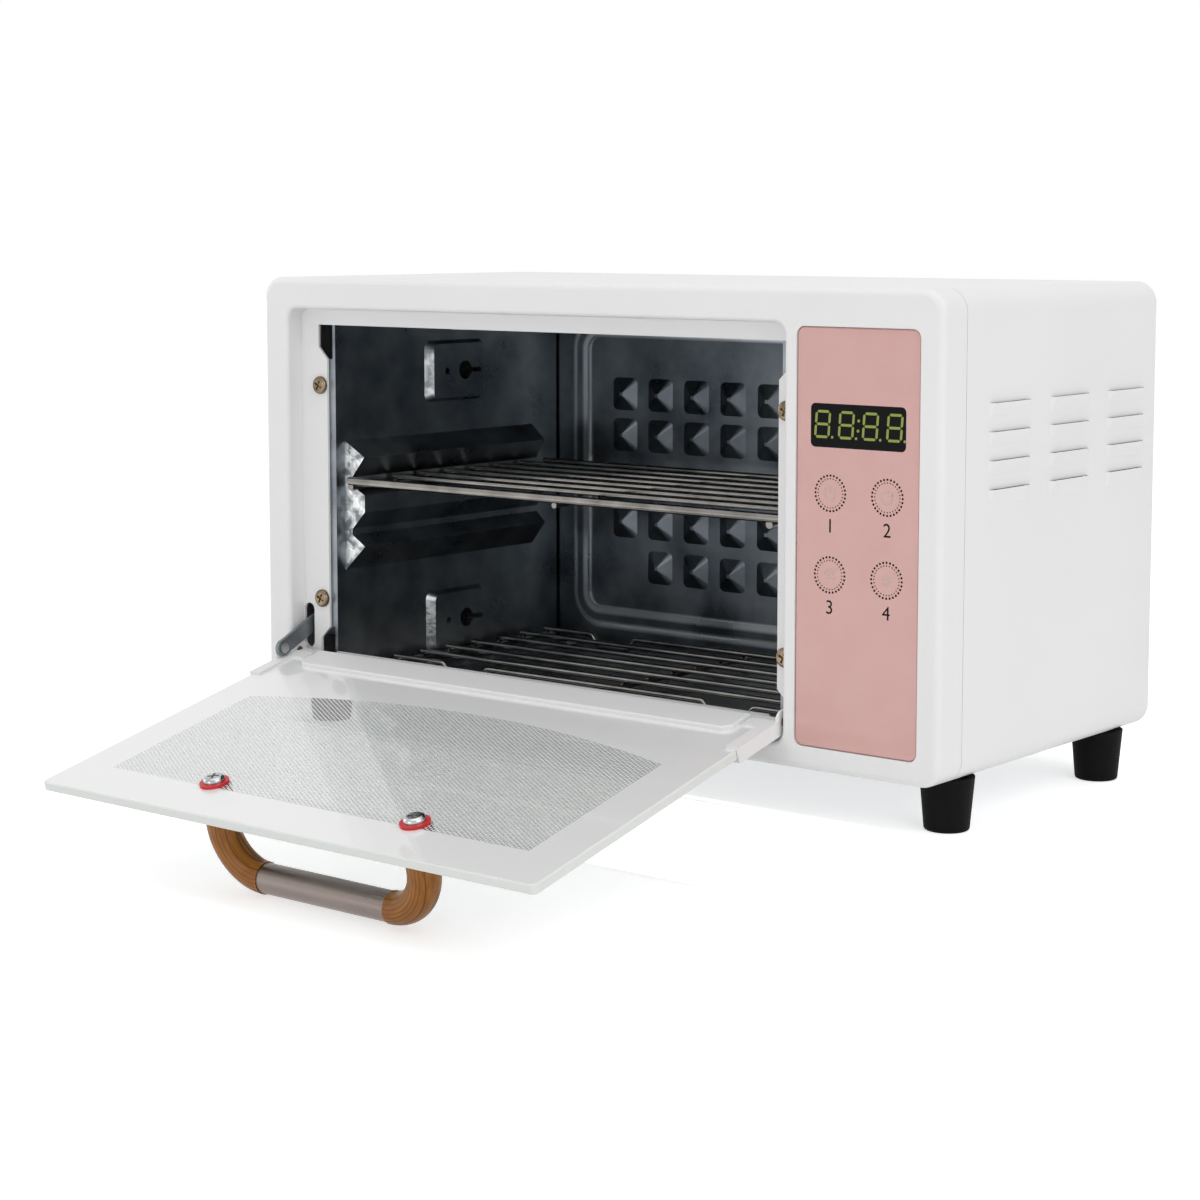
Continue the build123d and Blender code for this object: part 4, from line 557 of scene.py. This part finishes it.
def makeDoorPrint():
    size = doorPrint
    shape = bmesh.new()
    corners = []
    radius = size["cornerRadius"]
    for cx, cz, start in (
        (size["right"] - radius, size["tip"] - radius, 0),
        (size["left"] + radius, size["tip"] - radius, 90),
        (size["left"] + radius, size["heel"] + radius, 180),
        (size["right"] - radius, size["heel"] + radius, 270),
    ):
        for step in range(size["cornerSteps"] + 1):
            turn = math.radians(start + 90 / size["cornerSteps"] * step)
            corners.append((cx + radius * math.cos(turn), cz + radius * math.sin(turn)))
    layer = shape.loops.layers.uv.new("printMap")
    # A second sheet just inside the glass shows the print from outside where the rail covers it.
    inset = size["backInset"]
    sides = (size["left"] + inset, size["right"] - inset)
    ends = (size["backTo"], size["heel"] + inset)
    back = [(sides[1], ends[0]), (sides[0], ends[0]), (sides[0], ends[1]), (sides[1], ends[1])]
    for outline, height in ((corners, size["height"]), (back, size["backHeight"])):
        face = shape.faces.new([shape.verts.new((x * mm, height * mm, z * mm)) for x, z in outline])
        face.normal_update()
        if face.normal.y < 0:
            face.normal_flip()
        for loop in face.loops:
            x = loop.vert.co.x / mm
            z = loop.vert.co.z / mm
            across = (x - size["left"]) / (size["right"] - size["left"])
            loop[layer].uv = (across, (z - size["heel"]) / (size["tip"] - size["heel"]))
    shape.transform(doorPlace)
    mesh = bpy.data.meshes.new("door_print")
    shape.to_mesh(mesh)
    shape.free()
    return newPiece("door_print", mesh, "door", ceramicPrint())


makeDoorPrint()
print("door print made")

# Everything on the panel is placed from the display window and the touch pads behind it.
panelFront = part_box("control_panel")[0].y
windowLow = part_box("display_window")[0]
padLow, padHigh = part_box("touch_pads")
# Half a touch pad, from the edge of its field to its middle.
padRadius = 5.0 * mm
keyColumns = (padLow.x + padRadius, padHigh.x - padRadius)
keyRows = (padHigh.z - padRadius, padLow.z + padRadius)
keyPlaces = [(x, z) for z in keyRows for x in keyColumns]

# Screen-printed ink: thin, matt and slightly raised.
inkBlack = mouldedPlastic("black_screen_ink", ("0C0909", "120E0E"), (0.5, 0.6), specular=0.1)
inkGrey = mouldedPlastic("grey_screen_ink", ("BBA29E", "C2AAA6"), (0.5, 0.6))


# Display segment: dim epoxy that glows a little through the smoked window.
def litSegment(name):
    look = {"base": hexColor("6E7B2C"), "glowColor": hexColor("8A9A3A"), "glow": 0.25}
    material, tree, surface, place = startMaterial(name, **look)
    roughen(tree, surface, grainPattern(tree, place, 1.5), (0.3, 0.5))
    return material


segmentGreen = litSegment("lit_display_segment")

display = {
    "digitWidth": 7.0,
    "digitHeight": 10.6,
    "pitch": 10.7,
    "firstCentre": 5.3,
    "centreHeight": 8.7,
    "stroke": 1.0,
    "gap": 0.3,
    "slant": 0.07,
    "thickness": 0.03,
}


def addPrism(shape, outline, y, thickness):
    front = [shape.verts.new((x, y - thickness, z)) for x, z in outline]
    back = [shape.verts.new((x, y, z)) for x, z in outline]
    shape.faces.new(front)
    shape.faces.new(list(reversed(back)))
    count = len(outline)
    for i in range(count):
        j = (i + 1) % count
        shape.faces.new((front[j], front[i], back[i], back[j]))


# A bar with pointed ends, as on a seven-segment display.
def bar(x0, z0, x1, z1, stroke):
    along = Vector((x1 - x0, z1 - z0)).normalized()
    side = Vector((-along.y, along.x)) * stroke / 2
    tip = along * stroke / 2
    a, b = Vector((x0, z0)), Vector((x1, z1))
    return [a, a + tip - side, b - tip - side, b, b - tip + side, a + tip + side]


def circle(cx, cz, radius, count=12):
    steps = [2 * math.pi * i / count for i in range(count)]
    return [Vector((cx + radius * math.cos(t), cz + radius * math.sin(t))) for t in steps]


def finishFlat(name, shape, body, material):
    bmesh.ops.recalc_face_normals(shape, faces=shape.faces)
    mesh = bpy.data.meshes.new(name)
    shape.to_mesh(mesh)
    shape.free()
    return newPiece(name, mesh, body, material)


def makeDigits():
    size = display
    shape = bmesh.new()
    half = size["digitWidth"] / 2 - size["stroke"] / 2
    tall = size["digitHeight"] / 2 - size["stroke"] / 2
    gap = size["gap"]
    outlines = []
    for digit in range(4):
        cx = size["firstCentre"] + digit * size["pitch"]
        for z in (-tall, 0, tall):
            outlines.append((cx, bar(-half + gap, z, half - gap, z, size["stroke"])))
        for x in (-half, half):
            outlines.append((cx, bar(x, gap, x, tall - gap, size["stroke"])))
            outlines.append((cx, bar(x, -tall + gap, x, -gap, size["stroke"])))
        outlines.append((cx, circle(half + 1.7, -tall, 0.55)))
    middle = size["firstCentre"] + 1.5 * size["pitch"]
    for z in (-1.9, 1.9):
        outlines.append((middle, circle(0, z, 0.6)))
    for cx, outline in outlines:
        placed = []
        for point in outline:
            x = windowLow.x + (cx + point.x + point.y * size["slant"]) * mm
            placed.append((x, windowLow.z + (size["centreHeight"] + point.y) * mm))
        addPrism(shape, placed, windowLow.y, size["thickness"] * mm)
    return finishFlat("display_segments", shape, "cabinet", segmentGreen)


makeDigits()
print("display made")

keyRing = {
    "outerRadius": 6.75,
    "outerDots": 28,
    "outerDot": 0.47,
    "innerRadius": 5.55,
    "innerDots": 28,
    "innerDot": 0.27,
    "sides": 8,
    "height": 0.03,
}


# A tree that sets small discs round two circles at every key.
def ringTree(material):
    tree = bpy.data.node_groups.new("keyDots", "GeometryNodeTree")
    face = tree.interface
    face.new_socket("Geometry", in_out="INPUT", socket_type="NodeSocketGeometry")
    for name in ("Outer Radius", "Outer Dot", "Inner Radius", "Inner Dot", "Height"):
        face.new_socket(name, in_out="INPUT", socket_type="NodeSocketFloat")
    for name in ("Outer Count", "Inner Count", "Sides"):
        face.new_socket(name, in_out="INPUT", socket_type="NodeSocketInt")
    face.new_socket("Geometry", in_out="OUTPUT", socket_type="NodeSocketGeometry")
    given = addNode(tree, "NodeGroupInput").outputs
    quarterTurn = (math.pi / 2, 0, 0)
    rings = []
    for kind in ("Outer", "Inner"):
        count = given[kind + " Count"]
        reach = given[kind + " Radius"]
        ring = addNode(tree, "GeometryNodeMeshCircle", {"Vertices": count, "Radius": reach})
        upright = addNode(tree, "GeometryNodeTransform", {"Geometry": ring, "Rotation": quarterTurn})
        look = {"Vertices": given["Sides"], "Radius": given[kind + " Dot"], "Depth": given["Height"]}
        disc = addNode(tree, "GeometryNodeMeshCylinder", look)
        turned = addNode(tree, "GeometryNodeTransform", {"Geometry": disc, "Rotation": quarterTurn})
        dots = addNode(tree, "GeometryNodeInstanceOnPoints", {"Points": upright, "Instance": turned})
        rings.append(dots.outputs[0])
    both = addNode(tree, "GeometryNodeJoinGeometry")
    for ring in rings:
        tree.links.new(ring, both.inputs[0])
    keys = addNode(tree, "GeometryNodeInstanceOnPoints", {"Points": given["Geometry"], "Instance": both})
    real = addNode(tree, "GeometryNodeRealizeInstances", {0: keys})
    inked = addNode(tree, "GeometryNodeSetMaterial", {"Geometry": real, "Material": material})
    addNode(tree, "NodeGroupOutput", {0: inked})
    return tree


def makeKeyRings():
    size = keyRing
    start = bpy.data.meshes.new("keyPoints")
    start.from_pydata([(x, panelFront - size["height"] * mm / 2, z) for x, z in keyPlaces], [], [])
    holder = bpy.data.objects.new("keyPoints", start)
    bpy.context.scene.collection.objects.link(holder)
    modifier = holder.modifiers.new("dots", "NODES")
    modifier.node_group = ringTree(inkBlack)
    values = {
        "Outer Radius": size["outerRadius"] * mm,
        "Outer Dot": size["outerDot"] * mm,
        "Inner Radius": size["innerRadius"] * mm,
        "Inner Dot": size["innerDot"] * mm,
        "Height": size["height"] * mm,
        "Outer Count": size["outerDots"],
        "Inner Count": size["innerDots"],
        "Sides": size["sides"],
    }
    for item in modifier.node_group.interface.items_tree:
        if item.in_out == "INPUT" and item.name in values:
            modifier[item.identifier] = values[item.name]
    ready = holder.evaluated_get(bpy.context.evaluated_depsgraph_get())
    mesh = bpy.data.meshes.new_from_object(ready)
    bpy.data.objects.remove(holder)
    mesh.name = "key_rings"
    return newPiece("key_rings", mesh, "cabinet", inkBlack)


makeKeyRings()

# A digit of the font is as high as this share of its nominal size.
keyMarks = {
    "numberHeight": 5.4,
    "digitShare": 0.72,
    "numberDrop": 12.6,
    "iconRadius": 2.4,
    "iconStroke": 0.55,
    "height": 0.03,
}


def arcStroke(shape, cx, cz, radius, start, end, stroke, y, thickness, count=20):
    steps = [math.radians(start + (end - start) * i / count) for i in range(count + 1)]
    for first, second in zip(steps, steps[1:]):
        corners = []
        for turn, reach in ((first, 1), (second, 1), (second, -1), (first, -1)):
            away = radius + reach * stroke / 2
            corners.append((cx + away * math.cos(turn), cz + away * math.sin(turn)))
        addPrism(shape, corners, y, thickness)


def lineStroke(shape, x0, z0, x1, z1, stroke, y, thickness):
    along = Vector((x1 - x0, z1 - z0)).normalized()
    side = Vector((-along.y, along.x)) * stroke / 2
    a, b = Vector((x0, z0)), Vector((x1, z1))
    addPrism(shape, [a - side, b - side, b + side, a + side], y, thickness)


# Plain signs: a switch mark, a round arrow, rising warm air and a sun.
def makeKeyIcons():
    size = keyMarks
    shape = bmesh.new()
    r = size["iconRadius"] * mm
    w = size["iconStroke"] * mm
    t = size["height"] * mm
    y = panelFront
    (ax, az), (bx, bz), (cx, cz), (dx, dz) = keyPlaces
    arcStroke(shape, ax, az, r, 120, 420, w, y, t)
    lineStroke(shape, ax, az + 0.1 * r, ax, az + 1.15 * r, w, y, t)
    arcStroke(shape, bx, bz, r, 60, 380, w, y, t)
    lineStroke(shape, bx + 0.45 * r, bz + 0.35 * r, bx + 0.95 * r, bz + 0.4 * r, w, y, t)
    lineStroke(shape, bx + 0.98 * r, bz + 0.9 * r, bx + 0.95 * r, bz + 0.4 * r, w, y, t)
    for shift in (-0.7, 0, 0.7):
        x = cx + shift * r
        arcStroke(shape, x, cz + 0.85 * r, 0.3 * r, -90, 90, w, y, t, 8)
        arcStroke(shape, x, cz + 0.25 * r, 0.3 * r, 90, 270, w, y, t, 8)
    lineStroke(shape, cx - r, cz - 0.5 * r, cx + r, cz - 0.5 * r, w, y, t)
    arcStroke(shape, dx, dz, 0.45 * r, 0, 360, w, y, t)
    for i in range(8):
        turn = math.radians(45 * i)
        lineStroke(
            shape,
            dx + 0.75 * r * math.cos(turn),
            dz + 0.75 * r * math.sin(turn),
            dx + 1.1 * r * math.cos(turn),
            dz + 1.1 * r * math.sin(turn),
            w,
            y,
            t,
        )
    return finishFlat("key_icons", shape, "cabinet", inkGrey)


makeKeyIcons()


def makeKeyNumbers():
    size = keyMarks
    shape = bmesh.new()
    for index, (x, z) in enumerate(keyPlaces):
        curve = bpy.data.curves.new("keyNumber", "FONT")
        curve.body = str(index + 1)
        curve.align_x = "CENTER"
        curve.align_y = "CENTER"
        curve.size = size["numberHeight"] * mm / size["digitShare"]
        curve.extrude = size["height"] * mm / 2
        holder = bpy.data.objects.new("keyNumber", curve)
        bpy.context.scene.collection.objects.link(holder)
        ready = holder.evaluated_get(bpy.context.evaluated_depsgraph_get())
        mesh = bpy.data.meshes.new_from_object(ready)
        place = Matrix.Translation((x, panelFront - size["height"] * mm / 2, z - size["numberDrop"] * mm))
        mesh.transform(place @ Matrix.Rotation(math.pi / 2, 4, "X"))
        shape.from_mesh(mesh)
        bpy.data.objects.remove(holder)
        bpy.data.meshes.remove(mesh)
    bmesh.ops.remove_doubles(shape, verts=shape.verts, dist=1e-6)
    return finishFlat("key_numbers", shape, "cabinet", inkBlack)


makeKeyNumbers()
print("panel marks made")

# Studio: a pale floor below the hanging handle, a pale plinth under the feet and soft light. Each light has
# its place and target in metres, its size and its power in watts.
studio = {
    "floorColor": "F6F6F6",
    "floorHalf": 6,
    "floorDrop": 1.5,
    "plinth": ((-186, 186), (-76, 90)),
    "plinthBevel": 1.5,
    "floorGlow": 0.55,
    "throughGlow": 0.85,
    "sideGlow": 1.0,
    "worldStrength": 0.54,
    "backgroundStrength": 1.0,
    "lights": [
        ("key", (1.5, -0.5, 0.9), (0, 0, 0.08), 1.2, 8.5),
        ("fill", (-0.3, -2.0, 0.3), (0, 0, 0.1), 0.5, 4.2),
        ("left", (-1.5, -0.5, 0.5), (0, 0, 0.1), 0.8, 2.5),
        ("top", (0.0, -0.3, 1.6), (0, 0, 0.0), 1.4, 7.0),
    ],
}


# Camera or glossy rays see the pale background, while no such light falls on the object.
def seenDirectly(tree):
    path = addNode(tree, "ShaderNodeLightPath").outputs
    seen = {0: path["Is Camera Ray"], 1: path["Is Glossy Ray"]}
    return path, addNode(tree, mathKind, seen, operation="MAXIMUM")


def paleFloor(name, ownLight):
    material, tree, surface, place = startMaterial(name, base=hexColor(studio["floorColor"]), specular=0.1)
    roughen(tree, surface, grainPattern(tree, place, 400), (0.78, 0.82))
    path, seen = seenDirectly(tree)
    near = addNode(tree, mathKind, {0: seen, 1: ownLight}, operation="MULTIPLY")
    behind = {0: path["Is Transmission Ray"], 1: studio["throughGlow"]}
    through = addNode(tree, mathKind, behind, operation="MULTIPLY")
    glow = addNode(tree, mathKind, {0: near, 1: through}, operation="MAXIMUM")
    surface.inputs["Emission Color"].default_value = (1, 1, 1, 1)
    tree.links.new(glow.outputs[0], surface.inputs["Emission Strength"])
    return material


def makeStage():
    floorMaterial = paleFloor("pale_paper_floor", studio["floorGlow"])
    sideMaterial = paleFloor("pale_paper_plinth_side", studio["sideGlow"])
    low = cadBounds[0].z - studio["floorDrop"] * mm
    shape = bmesh.new()
    bmesh.ops.create_grid(shape, x_segments=1, y_segments=1, size=studio["floorHalf"])
    shape.transform(Matrix.Translation((0, 0, low)))
    mesh = bpy.data.meshes.new("studio_floor")
    shape.to_mesh(mesh)
    shape.free()
    mesh.materials.append(floorMaterial)
    floor = bpy.data.objects.new("studio_floor", mesh)
    (x0, x1), (y0, y1) = studio["plinth"]
    shape = bmesh.new()
    bmesh.ops.create_cube(shape, size=1)
    spread = Matrix.Diagonal(((x1 - x0) * mm, (y1 - y0) * mm, -low, 1))
    shape.transform(Matrix.Translation(((x0 + x1) / 2 * mm, (y0 + y1) / 2 * mm, low / 2)) @ spread)
    bevel = studio["plinthBevel"] * mm
    bmesh.ops.bevel(shape, geom=shape.edges[:], offset=bevel, segments=3, affect="EDGES")
    mesh = bpy.data.meshes.new("studio_plinth")
    for face in shape.faces:
        face.material_index = 0 if face.normal.z > 0.5 else 1
    shape.to_mesh(mesh)
    shape.free()
    mesh.materials.append(floorMaterial)
    mesh.materials.append(sideMaterial)
    plinth = bpy.data.objects.new("studio_plinth", mesh)
    for thing in (floor, plinth):
        bpy.context.scene.collection.objects.link(thing)


def makeWorld():
    world = bpy.data.worlds.new("soft_studio")
    world.use_nodes = True
    bpy.context.scene.world = world
    tree = world.node_tree
    background = tree.nodes["Background"]
    path, seen = seenDirectly(tree)
    seen = addNode(tree, mathKind, {0: seen, 1: path["Is Transmission Ray"]}, operation="MAXIMUM")
    limits = {"Value": seen, "To Min": studio["worldStrength"], "To Max": studio["backgroundStrength"]}
    tree.links.new(addNode(tree, rangeKind, limits).outputs[0], background.inputs["Strength"])
    background.inputs["Color"].default_value = (1, 1, 1, 1)


def makeLights():
    for name, place, target, size, power in studio["lights"]:
        light = bpy.data.lights.new(name, "AREA")
        light.size = size
        light.energy = power
        lamp = bpy.data.objects.new(name, light)
        lamp.location = place
        lamp.rotation_euler = (Vector(target) - Vector(place)).to_track_quat("-Z", "Y").to_euler()
        bpy.context.scene.collection.objects.link(lamp)


# The camera was solved from the straight edges in the photograph.
view = {"place": (0.6694, -0.88857, 0.22917), "yaw": 39.14, "pitch": -5.67, "lens": 77.154, "shift": -0.1}


def makeCamera():
    data = bpy.data.cameras.new("camera")
    data.sensor_width = 36
    data.lens = view["lens"]
    data.shift_y = view["shift"]
    data.clip_start = 0.05
    data.clip_end = 30
    camera = bpy.data.objects.new("camera", data)
    camera.location = view["place"]
    camera.rotation_euler = (math.radians(90 + view["pitch"]), 0, math.radians(view["yaw"]))
    bpy.context.scene.collection.objects.link(camera)
    bpy.context.scene.camera = camera


makeStage()
makeWorld()
makeLights()
makeCamera()
bpy.context.scene.view_settings.view_transform = "Standard"
print("studio made")
